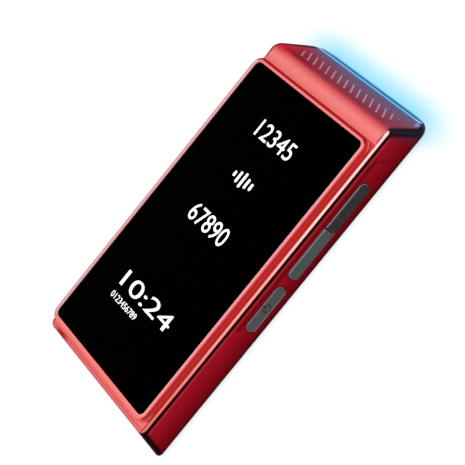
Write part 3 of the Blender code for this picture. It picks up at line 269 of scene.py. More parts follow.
def shellSpots(tree, coords):
    lines, spots = shellLines, spotsOf(tree, coords)
    x, y, z, off = (spots[key] for key in ("x", "y", "z", "off"))
    inward = calc(tree, "MAXIMUM", calc(tree, "SUBTRACT", lines["side"], off), 0.0)
    spots["level"] = calc(tree, "ADD", z, inward)
    # along, and from each end, as if the leaning end walls stood upright
    drop = calc(tree, "SUBTRACT", lines["shoulder"], z)
    spots["headDepth"] = shifted(tree, y, drop, lines["headLean"])
    spots["footDepth"] = shifted(tree, y, drop, lines["footLean"])
    spots["fromHead"] = calc(tree, "SUBTRACT", lines["head"], spots["headDepth"])
    spots["fromFoot"] = calc(tree, "SUBTRACT", spots["footDepth"], lines["foot"])
    # across, on a line that leans out to the near head corner from the strip's end
    aboveStrip = calc(tree, "SUBTRACT", z, lines["stripTop"])
    spots["stripEnd"] = shifted(tree, x, aboveStrip, lines["stripLean"])
    # rings round the glass, by the distance from it, and whether its end or its side is nearer
    corner = lines["glassCorner"]
    pastSide = calc(tree, "SUBTRACT", off, lines["glassAcross"] - corner)
    fromMiddle = calc(tree, "ABSOLUTE", calc(tree, "SUBTRACT", y, lines["glassMiddle"]))
    pastEnd = calc(tree, "SUBTRACT", fromMiddle, lines["glassAlong"] - corner)
    outside = [calc(tree, "MAXIMUM", past, 0.0) for past in (pastSide, pastEnd)]
    spots["ring"] = calc(tree, "SUBTRACT", distance(tree, *outside), corner)
    spots["ends"] = calc(tree, "SUBTRACT", pastEnd, pastSide)
    wide = anyOf(tree, allOf(tree, spots, leftSide), allOf(tree, spots, *headRim))
    spots["edgeRing"] = shifted(tree, spots["ring"], wide, lines["edgeWidening"])
    # heights of the shoulder's painted highlight and painted dark reflection, which dip at the
    # near head corner and rise at the foot
    headDip = allOf(tree, spots, ("fromHead", 4.2, 1.4))
    cornerDip = calc(tree, "MULTIPLY", headDip, allOf(tree, spots, rightSide))
    spots["creamHeight"] = shifted(tree, z, cornerDip, lines["creamDip"])
    spots["darkHeight"] = shifted(tree, z, cornerDip, lines["darkDip"])
    footEnd = allOf(tree, spots, ("y", -40.0, -62.0))
    spots["darkTop"] = shifted(tree, spots["creamHeight"], footEnd, lines["footRise"])
    # the painted dark reflection round the near head corner, with its tip and its flare at the
    # strip's end
    spots["bandTop"] = shifted(tree, z, headDip, lines["darkDip"])
    spots["reach"] = shifted(tree, spots["fromHead"], inward, lines["cornerLean"])
    spots["tip"] = allOf(tree, spots, ("fromHead", 1.5, 0.8), ("off", 33.2, 34.2))
    spots["cornerBand"] = allOf(tree, spots, rightSide, ["tip", ("bandTop", 16.6, 16.4)],
                                ("reach", -1.3, -0.1), ("reach", 3.9, 2.5))
    spots["flare"] = allOf(tree, spots, ("stripEnd", 31.8, 32.8), ("z", 7.6, 5.2),
                           ("fromHead", 3.0, 1.5))
    # how far past the far corner's outline, for its painted shade
    start = shifted(tree, lines["outline"], drop, lines["outlineLean"])
    topEnd = allOf(tree, spots, ("z", 14.0, 16.8))
    start = shifted(tree, start, topEnd, lines["outlineTop"])
    spots["pastOutline"] = calc(tree, "SUBTRACT", off, start)
    return spots


# the side walls, with painted shade towards the back and low down, and the right one's hollow
# round the keys
wallSurface = {
    "foot": tone(170, 18, 36),
    "head": (tone(164, 18, 34), ("y", -12.0, 10.0)),
    # painted shade, darker towards the back
    "back": (tone(130, 8, 22), ("level", 13.5, 5.0)),
    # painted shade along the hollow's upper slope, and a soft line of painted shade at either end
    "hollow": (tone(118, 4, 15), ("x", 0.0, 10.0), ("headDepth", 50.3, 49.1),
               ("footDepth", -20.2, -18.0), ("level", 12.3, 13.7, 0.9)),
    "hollowHead": (tone(100, 4, 16), ("x", 0.0, 10.0), ("headDepth", 48.9, 49.3, 0.5),
                   ("level", 7.0, 12.0, 1.4), 0.6),
    "hollowFoot": (tone(100, 4, 16), ("x", 0.0, 10.0), ("footDepth", -19.8, -19.4, 0.5),
                   ("level", 6.0, 9.6, 1.4), 0.5),
    # painted light: the strip's blue on the wall beside the head corner
    "tint": (tone(94, 34, 58), ("fromHead", 7.2, 3.0), ("level", 19.0, 6.0)),
    # painted shade low down
    "low": (tone(92, 5, 15), ("level", 5.6, 3.6)),
}

# the rim's outer wall down to the shoulder: darker in the crease from painted shade, with painted
# glints near the ends and the foot rim's painted highlight
flankSurface = {
    "crease": tone(176, 40, 38),
    "middle": (tone(212, 52, 50), ("z", 17.9, 19.3, 0.7)),
    "glints": (tone(240, 116, 114), [("y", 51.4, 54.4), ("y", -58.4, -61.4)],
               ("z", 17.8, 18.7, 0.6)),
    "foot": (footRimTone, ("along", -0.5, -0.8)),
}

# the slanted speaker end, coloured by painted light: crimson at the bend and towards the far
# corner, bluer towards the strip, with a painted glow beside the near corner
slantSurface = {
    "high": tone(136, 46, 64),
    "low": (tone(108, 86, 118), ("z", 15.0, 5.0)),
    "edge": (tone(80, 98, 144), ("z", 5.0, 3.4)),
    "right": (tone(132, 64, 92), ("x", 24.0, 35.0), ("z", 4.0, 7.0), 0.5),
    "left": (tone(138, 16, 38), ("x", 2.0, -28.0), ("z", 2.0, 13.0)),
    "corner": (tone(196, 26, 44), ("x", -23.0, -34.0), ("z", 3.0, 13.0)),
    # painted glow of the strip's light
    "glow": (tone(142, 146, 198), ("stripEnd", 30.3, 31.8, 0.6), ("z", 7.4, 4.8)),
}

# the slanted bottom end, in painted light and shade: coral at the top, darker towards the bottom
footSurface = {
    "high": tone(210, 84, 88),
    "low": (tone(150, 26, 40), ("z", 16.0, 4.0)),
}

# the flat ledges at the head and the foot: coral from a painted highlight, with a brighter painted
# band, painted shade in the creases, towards the bend and the far corners, and a painted highlight
# along the foot's edge
shelfSurface = {
    "head": tone(232, 122, 118),
    # a brighter band of painted highlight
    "warm": (tone(234, 132, 128), ("y", 57.8, 60.4, 1.4)),
    "headEdge": (tone(206, 78, 86), ("y", 58.9, 63.1)),
    "headLeft": (tone(192, 34, 46), ("x", -24.0, -36.0), ("y", 60.0, 63.0)),
    "headCrease": (tone(200, 66, 62), ("y", 56.15, 55.7), ("y", 50.0, 54.0)),
    "foot": (tone(238, 128, 122), ("y", -50.0, -60.0)),
    "footCrease": (tone(226, 98, 100), ("y", -65.0, -65.7)),
    "footEdge": (tone(236, 122, 128), ("y", -65.8, -66.5)),
    # painted shade of the rounded far corner at the foot
    "footPatch": (tone(172, 28, 44), ("x", -30.2, -23.0, 2.6), ("y", -65.0, -66.0)),
    "footLeft": (tone(104, 40, 48), ("x", -34.2, -35.2), ("y", -60.0, -62.0)),
}

# the raised rim, pale from painted highlights: a ring next to the glass, one in the middle and its
# outer edge, which painted shade makes darker on the right and at the head
rimInner = {
    "sides": tone(226, 172, 174),
    "ends": (tone(254, 150, 150), rimEnds),
}
rimMiddle = {
    "right": tone(240, 138, 141),
    "left": (tone(226, 168, 174), leftSide),
    "head": (tone(242, 116, 114), *headRim),
    "foot": (footRimTone, *footRim),
}
rimEdge = {
    "right": tone(190, 46, 52),
    "left": (tone(206, 134, 144), leftSide),
    "head": (tone(146, 26, 22), *headRim),
    "foot": (footRimTone, *footRim),
}
rimSurface = {
    "inner": rimInner,
    "middle": (rimMiddle, ("ring", 0.2, 0.75)),
    "edge": (rimEdge, ("edgeRing", 1.25, 1.7)),
}

# the painted highlight along the shoulder, darker at its top edge and turned to the far outline's
# painted shade near the far corners
shoulderHighlight = {
    "middle": tone(250, 168, 162),
    "head": (tone(255, 210, 206), ("y", -8.0, 26.0)),
    "foot": (tone(222, 126, 118), ("y", -5.0, -62.0)),
    "top": (tone(196, 60, 58), ("z", 16.93, 16.99)),
    "farEnds": (farOutlineShade, [("y", 57.0, 60.0), ("y", -58.0, -61.0)], ("x", -20.0, -28.0)),
}

# the painted dark reflection round the near head corner, bluish in its middle
cornerReflection = {
    "sides": tone(38, 18, 30),
    "core": (tone(14, 42, 52), ("reach", 0.9, 1.8, 0.7), ("z", 16.5, 12.0)),
}

# the whole shell
shellSurface = {
    "walls": wallSurface,
    "flank": (flankSurface, ("z", 16.9, 17.05)),
    "slant": (slantSurface, ("along", 0.25, 0.5), belowShoulder, ("fromHead", 6.0, 4.0)),
    "foot": (footSurface, ("along", -0.3, -0.6), belowShoulder, ("fromFoot", 6.0, 4.0)),
    "shelf": (shelfSurface, ("up", 0.75, 1.05)),
    "rim": (rimSurface, ("z", 19.6, 19.75)),
    # walls of the window, inside the rim, pale from the rim's painted highlight
    "window": (rimInner["sides"], ("off", 32.75, 32.65), ("z", 18.4, 18.6), ("up", 0.6, 0.3),
               ("y", -62.1, 53.9, 0.05)),
    # fillet along the sides: a painted highlight above, a black painted reflection below, a thin
    # painted highlight line under it, and painted shade on the ledge near the ends
    "cream": (shoulderHighlight, ("off", 34.4, 34.6), ("z", 17.05, 16.98),
              ("creamHeight", 16.34, 16.6)),
    "creamEnds": (tone(160, 44, 50), ("off", 33.95, 34.4, 0.14), ("z", 16.93, 17.07, 0.03),
                  [("y", 56.0, 57.2), ("y", -59.5, -61.0)]),
    "dark": (tone(34, 0, 0), ("off", 34.4, 34.6), ("z", 17.05, 16.98),
             ("darkHeight", 15.1, 15.45), ("darkTop", 16.65, 16.29)),
    "thin": (tone(188, 56, 68), ("off", 33.0, 34.0), ("level", 14.35, 14.9, 0.35),
             ("fromHead", 3.0, 5.0), ("fromFoot", 1.5, 3.0)),
    # upright corners between the end faces and the sides, dark from painted reflection and shade;
    # the far one has only a dark outline of painted shade
    "headCorner": (cornerReflection, ["cornerBand", "flare"]),
    "farCorner": (farOutlineShade, ("pastOutline", -0.6, 1.5), ("x", -20.0, -28.0),
                  ("z", 16.9, 16.5), ("fromHead", 4.4, 2.8), ("z", 2.0, 4.0)),
    "footCorner": (tone(28, 0, 1), ("fromFoot", 3.0, 1.5), ("x", 31.2, 33.2), ("z", 16.9, 16.5)),
}


def makeShell():
    material, tree, shader, coords = startMaterial("redShell")
    colour = paint(tree, shellSpots(tree, coords), shellSurface)
    feed(tree, shader, {"Base Color": colour, "Specular IOR Level": 0.006})
    addGrain(tree, shader, coords, grain=2600.0, roughness=0.34, depth=0.08, spread=0.06)
    return material


# the rear cover: dark red, darker on its walls from painted shade, with the strip's blue painted
# as light along the head and painted shade at its corners
headEdge = (("y", 62.0, 69.0), ("up", -0.95, -0.8))
backSurface = {
    "wall": tone(54, 3, 10),
    "rear": (tone(92, 8, 20), ("up", -0.8, -0.99)),
    "litEdge": (tone(22, 104, 146), *headEdge),
    "corners": (tone(8, 24, 32), *headEdge, [("turn", 0.15, 0.45), ("off", 29.0, 33.5)]),
    "mottled": (black, "mottle", 0.2),
}


def makeBack():
    material, tree, shader, coords = startMaterial("backShell")
    spots = spotsOf(tree, coords)
    spots["mottle"] = addGrain(tree, shader, coords, grain=1500.0, roughness=0.45, depth=0.25)
    feed(tree, shader, {
        "Base Color": paint(tree, spots, backSurface), "Specular IOR Level": 0.02})
    return material


# the keys: a grey face and a chamfer of its own tone, lighter where it faces up from a painted
# highlight, and on one a painted highlight line along the lower edge and painted shade on its
# walls
keyTones = {
    "edge": tone(96, 74, 78), "blotch": tone(98, 80, 96), "wall": tone(58, 30, 40),
    "lowLine": tone(160, 132, 126),
}
keyLooks = {
    "keyGrey": {"face": tone(86, 98, 96), "topEdge": tone(132, 126, 122), "blotches": 0.5},
    "keyPower": {"face": tone(88, 98, 94), "topEdge": tone(126, 106, 108), "blotches": 0.6,
                 "lowLine": 0.9},
    "keyDark": {"face": tone(56, 56, 57), "topEdge": tone(132, 126, 122), "blotches": 0.15},
}


def makeKey(name, face, topEdge, blotches, lowLine=None):
    material, tree, shader, coords = startMaterial(name)
    spots = spotsOf(tree, coords)
    spots["mottle"] = addGrain(tree, shader, coords, grain=3200.0, roughness=0.5, depth=0.25)
    noise = addNode(tree, "ShaderNodeTexNoise", {"Vector": coords, "Scale": 420.0, "Detail": 1.0})
    spots["blotch"] = noise.outputs[0]
    faceSurface = {
        "face": face,
        "blotches": (keyTones["blotch"], ("blotch", 0.5, 0.7), blotches),
        "mottled": (black, "mottle", 0.25),
    }
    # the chamfer, with a painted highlight where it faces up
    edgeSurface = {
        "edge": keyTones["edge"],
        "top": (topEdge, ("up", -0.2, 0.4)),
    }
    if lowLine:
        # painted shade on the walls, and a painted highlight line low on the face and at the foot
        # end
        faceSurface["wall"] = (keyTones["wall"], ("across", 0.5, 0.2))
        faceSurface["lowLine"] = (keyTones["lowLine"], ("z", 6.42, 6.72, 0.12),
                                  ("across", 0.9, 0.98), lowLine)
        edgeSurface["footEnd"] = (keyTones["lowLine"], ("along", -0.2, -0.5), lowLine)
    surface = {
        "face": faceSurface,
        "chamfer": (edgeSurface, ("across", 0.97, 0.8), ("x", 35.3, 35.36)),
    }
    feed(tree, shader, {"Base Color": paint(tree, spots, surface), "Specular IOR Level": 0.03})
    return material


# the light strip, which glows in its own colours
lightSurface = {
    "middle": tone(108, 190, 242),
    "nearEnd": (tone(196, 194, 232), ("x", 26.5, 30.6)),
    "farEnd": (tone(186, 196, 222), ("x", -26.0, -34.0)),
    "upper": (tone(84, 112, 162), ("z", 2.6, 3.25)),
    "lower": (tone(66, 140, 186), ("z", 2.25, 1.95)),
    # painted shade, dark round both corners, sooner at the near one
    "corners": (tone(6, 16, 22), [("turn", 0.2, 0.42), ("x", 30.2, 31.2), ("x", -33.4, -34.4)]),
}


def makeLight():
    material, tree, shader, coords = startMaterial("lightGuide")
    feed(tree, shader, {
        "Base Color": tone(4, 10, 16), "Specular IOR Level": 0.05,
        "Emission Color": paint(tree, spotsOf(tree, coords), lightSurface),
        "Emission Strength": 0.95,
        "Roughness": addPatches(tree, coords, scale=260.0, low=0.3, high=0.45)})
    return material


# the display glass: its printed border is a trace lighter than the lit area
glassLook = {"lit": (0.0001, 0.0001, 0.0002, 1), "border": (0.0004, 0.0004, 0.0004, 1),
             "litHalfWidth": 31.2}


def makeGlass():
    material, tree, shader, coords = startMaterial("displayGlass")
    spots = spotsOf(tree, coords)
    spots["border"] = calc(tree, "GREATER_THAN", spots["off"], glassLook["litHalfWidth"])
    surface = {"lit": glassLook["lit"], "border": (glassLook["border"], "border")}
    feed(tree, shader, {
        "Base Color": paint(tree, spots, surface), "Specular IOR Level": 0.002,
        "Roughness": addPatches(tree, coords, scale=35.0, low=0.03, high=0.08)})
    return material


# plain finishes of the inner nodes
plastics = {
    "blackPlastic": {"colour": tone(26, 26, 28), "roughness": 0.5},
    "foam": {"colour": tone(24, 24, 25), "roughness": 0.9, "specular": 0.1, "mottled": 0.4,
             "grain": 900.0, "depth": 0.6},
    "cloth": {"colour": tone(60, 40, 58), "roughness": 0.85, "specular": 0.1, "mottled": 0.4,
              "grain": 1600.0, "depth": 0.6},
    "boardGreen": {"colour": tone(20, 92, 66), "roughness": 0.45, "specular": 0.4,
                   "mottled": 0.3, "grain": 500.0, "depth": 0.2},
    "batteryFoil": {"colour": tone(58, 60, 66), "roughness": 0.35, "specular": 0.5,
                    "mottled": 0.2, "grain": 300.0, "depth": 0.3},
    "lensGlass": {"colour": tone(12, 12, 16), "roughness": 0.08, "specular": 0.5,
                  "mottled": 0.2, "grain": 60.0, "depth": 0.02},
}
metals = {
    "panelMetal": {"colour": tone(170, 172, 176), "roughness": 0.32},
    "steel": {"colour": tone(196, 196, 198), "roughness": 0.28},
    "screwSteel": {"colour": tone(120, 120, 124), "roughness": 0.34},
}
brushing = {"stretch": (40.0, 900.0, 900.0), "smoother": -0.07, "rougher": 0.1, "depth": 0.1}


def makePlastic(name, colour, roughness, specular=0.35, mottled=0.15, grain=2400.0, depth=0.2):
    material, tree, shader, coords = startMaterial(name)
    spots = {"mottle": addGrain(tree, shader, coords, grain, roughness, depth)}
    darker = (*[part * (1 - mottled) for part in colour[:3]], 1)
    surface = {"darker": darker, "mottled": (colour, "mottle")}
    feed(tree, shader, {
        "Base Color": paint(tree, spots, surface), "Specular IOR Level": specular})
    return material


def makeMetal(name, colour, roughness):
    material, tree, shader, coords = startMaterial(name)
    stretched = addNode(tree, "ShaderNodeMapping", {
        "Vector": coords, "Scale": brushing["stretch"]}).outputs[0]
    noise = addNode(tree, "ShaderNodeTexNoise", {"Vector": stretched, "Scale": 3.0, "Detail": 4.0})
    rough = addNode(tree, "ShaderNodeMapRange", {
        "Value": noise.outputs[0], "To Min": roughness + brushing["smoother"],
        "To Max": roughness + brushing["rougher"]})
    bump = addNode(tree, "ShaderNodeBump", {
        "Strength": brushing["depth"], "Distance": reliefDepth, "Height": noise.outputs[0]})
    feed(tree, shader, {"Base Color": colour, "Metallic": 1.0, "Roughness": rough.outputs[0],
                        "Normal": bump.outputs[0]})
    return material


finishes = {"redShell": makeShell(), "backShell": makeBack(), "lightGuide": makeLight(),
            "displayGlass": makeGlass()}
for make, looks in ((makeKey, keyLooks), (makePlastic, plastics), (makeMetal, metals)):
    for name, look in looks.items():
        finishes[name] = make(name, **look)
print("stage: materials ready")

# CAD nodes that stay, each with its finish
nodeFinish = {
    "light_board": "boardGreen", "display_panel": "panelMetal", "display_gasket": "foam",
    "display_frame": "steel", "main_board": "boardGreen", "processor_shield": "steel",
    "radio_shield": "steel", "battery": "batteryFoil", "battery_connector": "blackPlastic",
    "cellular_antenna": "blackPlastic", "lower_board": "boardGreen", "usb_c_socket": "steel",
    "left_microphone": "steel", "right_microphone": "steel", "speaker": "blackPlastic",
    "speaker_mesh": "cloth", "camera_module": "blackPlastic", "camera_window": "lensGlass",
    "flash_lens": "lensGlass", "vibration_motor": "steel", "key_board": "boardGreen",
    "key_bracket": "steel",
}
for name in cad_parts:
    if name.startswith("screw_"):
        nodeFinish[name] = "screwSteel"
    elif name.endswith("_switch"):
        nodeFinish[name] = "steel"
for name, finish in nodeFinish.items():
    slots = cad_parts[name].data.materials
    for index in range(len(slots)):
        slots[index] = finishes[finish]
print("stage: inner nodes dressed")

# smooth shading: metres, degrees, and the weight of a face's size in its corners' normals
smoothing = {"merge": 0.000002, "shellAngle": 32, "newAngle": 35, "weight": 60}


# mesh helpers
def selectOnly(piece):
    bpy.ops.object.select_all(action="DESELECT")
    piece.select_set(True)
    bpy.context.view_layer.objects.active = piece


def applyPlace(piece, turn, place):
    # turned about the origin and moved, with both left in the mesh
    selectOnly(piece)
    piece.rotation_euler = turn
    piece.location = place
    bpy.ops.object.transform_apply(location=True, rotation=True, scale=True)


def settle(piece, turn, place, body, material):
    applyPlace(piece, turn, place)
    piece.data.materials.clear()
    piece.data.materials.append(material)
    bpy.ops.object.shade_smooth_by_angle(angle=math.radians(smoothing["newAngle"]))
    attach(piece, body)


def addCapsule(name, length, width, low, high):
    # a round-ended bar from the origin along +X, standing from low to high
    bpy.ops.object.select_all(action="DESELECT")
    bpy.ops.mesh.primitive_cylinder_add(
        vertices=16, radius=width / 2, depth=high - low, location=(0, 0, (low + high) / 2))
    piece = bpy.context.object
    piece.name = name
    bpy.ops.object.transform_apply(location=True)
    # the half towards +X is drawn out to the length
    for vertex in piece.data.vertices:
        vertex.select = vertex.co.x > width * 0.01
    for kind in (piece.data.edges, piece.data.polygons):
        for item in kind:
            item.select = all(piece.data.vertices[index].select for index in item.vertices)
    bpy.ops.object.mode_set(mode="EDIT")
    bpy.ops.mesh.select_mode(type="VERT")
    bpy.ops.transform.translate(value=(length, 0, 0))
    bpy.ops.object.mode_set(mode="OBJECT")
    return piece


def drawOut(first, reach, length):
    # a copy with its own mesh, its far half moved on to another length
    piece = bpy.data.objects.new(first.name, first.data.copy())
    scene.collection.objects.link(piece)
    for vertex in piece.data.vertices:
        if vertex.co.x > reach / 2:
            vertex.co.x += length - reach
    return piece


def joinPieces(pieces, name):
    selectOnly(pieces[0])
    for piece in pieces:
        piece.select_set(True)
    bpy.ops.object.join()
    pieces[0].name = name
    return pieces[0]


# the outer pieces: CAD node, new piece, body, slot and finish
outerPieces = [
    ("front_housing", "frontShell", "device", "red_plastic", "redShell"),
    ("rear_cover", "backCover", "device", "dark_red_plastic", "backShell"),
    ("light_bar", "lightStrip", "device", "light_plastic", "lightGuide"),
    ("display_glass", "screenGlass", "device", "black_glass", "displayGlass"),
    ("upper_translate_key", "upperKey", "upper_translate_button", "key_plastic", "keyDark"),
    ("lower_translate_key", "lowerKey", "lower_translate_button", "key_plastic", "keyGrey"),
    ("power_key", "powerKey", "power_button", "key_plastic", "keyPower"),
]


def smoothCopy(nodeName, pieceName, body, material):
    # the CAD node's own mesh, merged and shaded smooth, in its place
    piece = bpy.data.objects.new(pieceName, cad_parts[nodeName].data.copy())
    scene.collection.objects.link(piece)
    selectOnly(piece)
    piece.data.materials.clear()
    piece.data.materials.append(material)
    bpy.ops.object.mode_set(mode="EDIT")
    bpy.ops.mesh.select_all(action="SELECT")
    bpy.ops.mesh.customdata_custom_splitnormals_clear()
    bpy.ops.mesh.remove_doubles(threshold=smoothing["merge"])
    bpy.ops.object.mode_set(mode="OBJECT")
    bpy.ops.object.shade_smooth_by_angle(angle=math.radians(smoothing["shellAngle"]))
    weighted = piece.modifiers.new("weighted", "WEIGHTED_NORMAL")
    weighted.keep_sharp = True
    weighted.weight = smoothing["weight"]
    bpy.ops.object.modifier_apply(modifier=weighted.name)
    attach(piece, body)
    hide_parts(nodeName)


for nodeName, pieceName, body, slot, finish in outerPieces:
    smoothCopy(nodeName, pieceName, body, finishes[finish])
print("stage: shells and keys in place")

glassLow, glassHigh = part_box("display_glass")
glassMiddle = (glassLow.y + glassHigh.y) / 2

# pale fill of painted light that fills the grille slots to just under the slanted face: strokes at
# 45 degrees on a flat sheet, cut off at its sides and ends, which is then leaned back on the
# shoulder
grille = {
    "count": 16, "pitch": 3.8, "halfWidth": 27.525, "low": 3.275, "high": 9.925, "shift": 2.0,
    "width": 0.68, "deep": -1.86, "top": -0.1, "direction": 135, "lean": 29.25,
    "shelfLength": 9.3, "shoulder": 17.0,
}
# painted light on the slots, pinker at the left and bluer at the right
grilleSurface = {
    "left": tone(206, 138, 158),
    "right": (tone(190, 152, 184), ("x", -28.0, 6.0)),
    "mottled": (black, "mottle", 0.3),
}


def makeGrille():
    material, tree, shader, coords = startMaterial("grilleCloth")
    spots = spotsOf(tree, coords)
    spots["mottle"] = addGrain(tree, shader, coords, grain=2600.0, roughness=0.8, depth=0.5)
    feed(tree, shader, {
        "Base Color": paint(tree, spots, grilleSurface), "Specular IOR Level": 0.02})
    middle = (grille["low"] + grille["high"]) / 2
    first = addCapsule("stroke", mm, grille["width"] * mm, grille["deep"] * mm,
                       grille["top"] * mm)
    strokes = []
    for index in range(grille["count"]):
        crossing = grille["shift"] + grille["pitch"] * (index - (grille["count"] - 1) / 2)
        far = min(grille["high"], middle + crossing + grille["halfWidth"])
        near = max(grille["low"], middle + crossing - grille["halfWidth"])
        stroke = drawOut(first, mm, (far - near) * math.sqrt(2) * mm)
        place = ((crossing - near + middle) * mm, near * mm, 0)
        applyPlace(stroke, (0, 0, math.radians(grille["direction"])), place)
        strokes.append(stroke)
    bpy.data.objects.remove(first)
    place = (0, glassHigh.y + grille["shelfLength"] * mm, grille["shoulder"] * mm)
    settle(joinPieces(strokes, "grilleCloth"), (math.radians(grille["lean"] - 90), 0, 0), place,
           "device", material)


makeGrille()
print("stage: grille cloth in place")

# plain figures and level bars on the screen: text, middle across, middle along, width, height
screenLook = {"lift": 0.00001, "thick": 0.00003, "merge": 0.000001}
screenFigures = [
    ("12345", 0.0, 40.3, 21.4, 6.6),
    ("67890", 0.3, 3.8, 22.8, 6.8),
    ("10:24", 0.3, -30.2, 33.0, 6.3),
    ("0123456789", -7.4, -37.3, 17.4, 2.4),
]
levelBars = {"place": (-0.2, 22.7), "pitch": 2.6, "width": 1.25,
             "heights": (2.2, 4.6, 6.0, 4.0, 2.8)}


def makeScreenWhite():
    material, tree, shader, coords = startMaterial("screenWhite")
    feed(tree, shader, {
        "Base Color": (0.8, 0.8, 0.8, 1), "Roughness": 0.6, "Specular IOR Level": 0.1,
        "Emission Color": addPatches(tree, coords, scale=9000.0, low=0.93, high=1.0),
        "Emission Strength": 0.55})
    return material


def settleOnScreen(piece, across, along, material):
    place = (across * mm, glassMiddle + along * mm, glassHigh.z + screenLook["lift"])
    settle(piece, (0, 0, 0), place, "device", material)


def makeFigures(name, text, across, along, width, height, material):
    bpy.ops.object.select_all(action="DESELECT")
    bpy.ops.object.text_add(location=(0, 0, 0))
    piece = bpy.context.object
    piece.data.body = text
    piece.data.extrude = 0.01  # any thickness, as it is brought to size below
    piece.name = name
    bpy.ops.object.convert(target="MESH")
    piece = bpy.context.object
    # centred on the origin and brought to its size
    places = [vertex.co for vertex in piece.data.vertices]
    low = [min(place[axis] for place in places) for axis in range(3)]
    high = [max(place[axis] for place in places) for axis in range(3)]
    size = (width * mm, height * mm, screenLook["thick"])
    bpy.ops.object.mode_set(mode="EDIT")
    bpy.ops.mesh.select_all(action="SELECT")
    bpy.ops.transform.translate(value=[-(low[axis] + high[axis]) / 2 for axis in range(3)])
    bpy.ops.transform.resize(
        value=[size[axis] / (high[axis] - low[axis]) for axis in range(3)],
        center_override=(0, 0, 0))
    bpy.ops.mesh.remove_doubles(threshold=screenLook["merge"])
    bpy.ops.object.mode_set(mode="OBJECT")
    settleOnScreen(piece, across, along, material)


def makeLevelBars(material):
    half = screenLook["thick"] / 2
    middle = (len(levelBars["heights"]) - 1) / 2
    first = addCapsule("bar", mm, levelBars["width"] * mm, -half, half)
    bars = []
    for index, height in enumerate(levelBars["heights"]):
        straight = height - levelBars["width"]
        bar = drawOut(first, mm, straight * mm)
        place = ((index - middle) * levelBars["pitch"] * mm, -straight / 2 * mm, 0)
        applyPlace(bar, (0, 0, math.radians(90)), place)
        bars.append(bar)
    bpy.data.objects.remove(first)
    settleOnScreen(joinPieces(bars, "screenBars"), *levelBars["place"], material)


screenWhite = makeScreenWhite()
for index, figures in enumerate(screenFigures):
    makeFigures("screenFigures" + str(index + 1), *figures, screenWhite)
makeLevelBars(screenWhite)
print("stage: screen figures in place")

# on and off mark in the power key: an open ring and a short bar
powerMark = {"along": -4.3, "lift": 0.3, "ring": 1.4, "thick": 0.3, "opening": 34, "bar": 1.3,
             "barStart": 0.45, "sunk": 0.55}
# painted light on the sides that look up, painted shade on those that look down
markSurface = {
    "low": tone(52, 34, 44),
    "high": (tone(136, 124, 122), ("up", 0.3, 0.7)),
}


def makePowerMark():
    material, tree, shader, coords = startMaterial("powerMark")
    addGrain(tree, shader, coords, grain=3000.0, roughness=0.5, depth=0.1, spread=0.05)
    colour = paint(tree, spotsOf(tree, coords), markSurface)
    feed(tree, shader, {"Base Color": colour, "Specular IOR Level": 0.05})
    radius, thick = powerMark["ring"] * mm, powerMark["thick"] * mm
    bpy.ops.object.select_all(action="DESELECT")
    bpy.ops.mesh.primitive_torus_add(
        major_radius=radius, minor_radius=thick, major_segments=40, minor_segments=8)
    ring = bpy.context.object
    bpy.ops.object.mode_set(mode="EDIT")
    bpy.ops.mesh.select_mode(type="VERT")
    bpy.ops.mesh.select_all(action="DESELECT")
    bpy.ops.object.mode_set(mode="OBJECT")
    for vertex in ring.data.vertices:
        angle = math.degrees(math.atan2(vertex.co.x, vertex.co.y))
        vertex.select = abs(angle) < powerMark["opening"]
    bpy.ops.object.mode_set(mode="EDIT")
    bpy.ops.mesh.delete(type="VERT")
    bpy.ops.mesh.select_all(action="SELECT")
    bpy.ops.mesh.fill_holes(sides=0)
    bpy.ops.object.mode_set(mode="OBJECT")
    bar = addCapsule("bar", powerMark["bar"] * mm, 2 * thick, -thick, thick)
    applyPlace(bar, (0, 0, math.radians(90)), (0, radius * powerMark["barStart"], 0))
    keyLow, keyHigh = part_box("power_key")
    place = (keyHigh.x - thick * powerMark["sunk"], glassMiddle + powerMark["along"] * mm,
             (keyLow.z + keyHigh.z) / 2 + powerMark["lift"] * mm)
    settle(joinPieces([ring, bar], "powerMark"), (math.radians(90), 0, math.radians(90)), place,
           "power_button", material)


makePowerMark()
print("stage: power mark in place")

# floor: white, with the strip's cyan light painted on it behind the head
floorSetup = {"size": 4.0, "sink": 0.0001, "white": 0.76, "albedo": 0.3,
              "glowStart": 71.5, "glowHalfWidth": 22.0, "glowTaper": 0.45}
floorSurface = {
    "white": white,
    "glow": (tone(146, 222, 250), ("far", 13.6, -1.0)),
    # painted contact shadow where the cover meets the floor, tinted by the strip's light
    "contact": (tone(52, 104, 140), ("beyond", -2.0, 0.75, 0.55), ("outside", 8.0, 2.0)),
}


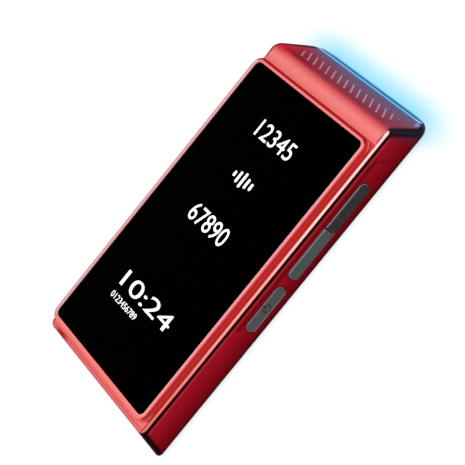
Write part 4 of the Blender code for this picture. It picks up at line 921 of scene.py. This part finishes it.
def makeFloor():
    material, tree, shader, coords = startMaterial("floorWhite")
    spots = spotsOf(tree, coords)
    spots["beyond"] = calc(tree, "SUBTRACT", spots["y"], floorSetup["glowStart"])
    outside = calc(tree, "SUBTRACT", spots["off"], floorSetup["glowHalfWidth"])
    spots["outside"] = calc(tree, "MAXIMUM", outside, 0.0)
    taper = calc(tree, "MULTIPLY", spots["outside"], floorSetup["glowTaper"])
    spots["far"] = distance(tree, spots["beyond"], taper)
    colour = paint(tree, spots, floorSurface)
    strength = calc(tree, "MULTIPLY", seenDirectly(tree), floorSetup["white"])
    feed(tree, shader, {
        "Base Color": paint(tree, spots, {"dark": black, "lit": (colour, floorSetup["albedo"])}),
        "Emission Color": colour, "Emission Strength": strength,
        "Roughness": addPatches(tree, coords, scale=40.0, low=0.8, high=0.95),
        "Specular IOR Level": 0.0})
    return material


bpy.ops.object.select_all(action="DESELECT")
bpy.ops.mesh.primitive_plane_add(size=floorSetup["size"], location=(0, 0, -floorSetup["sink"]))
floor = bpy.context.object
floor.name = "floor"
bpy.ops.object.transform_apply(location=True)
floor.data.materials.append(makeFloor())

# world: white to the eye, softer as a light
worldSetup = {"light": 0.55, "seen": 1.0}
world = bpy.data.worlds.new("studio")
scene.world = world
world.use_nodes = True
worldTree = world.node_tree
strength = addNode(worldTree, "ShaderNodeMapRange", {
    "Value": seenDirectly(worldTree), "To Min": worldSetup["light"], "To Max": worldSetup["seen"]})
feed(worldTree, worldTree.nodes["Background"], {"Color": white, "Strength": strength.outputs[0]})

# lamps, turned towards the object
lampSetup = {
    "top": {"place": (0.62, 0.1, 1.0), "size": 0.7, "power": 8.5},
    "head": {"place": (0.2, 0.9, 0.6), "size": 0.5, "power": 2.0},
}
for name, values in lampSetup.items():
    lampData = bpy.data.lights.new(name, "AREA")
    lampData.size = values["size"]
    lampData.energy = values["power"]
    lamp = bpy.data.objects.new(name, lampData)
    lamp.location = values["place"]
    lamp.rotation_euler = Vector(values["place"]).to_track_quat("Z", "Y").to_euler()
    scene.collection.objects.link(lamp)
print("stage: floor and lamps ready")
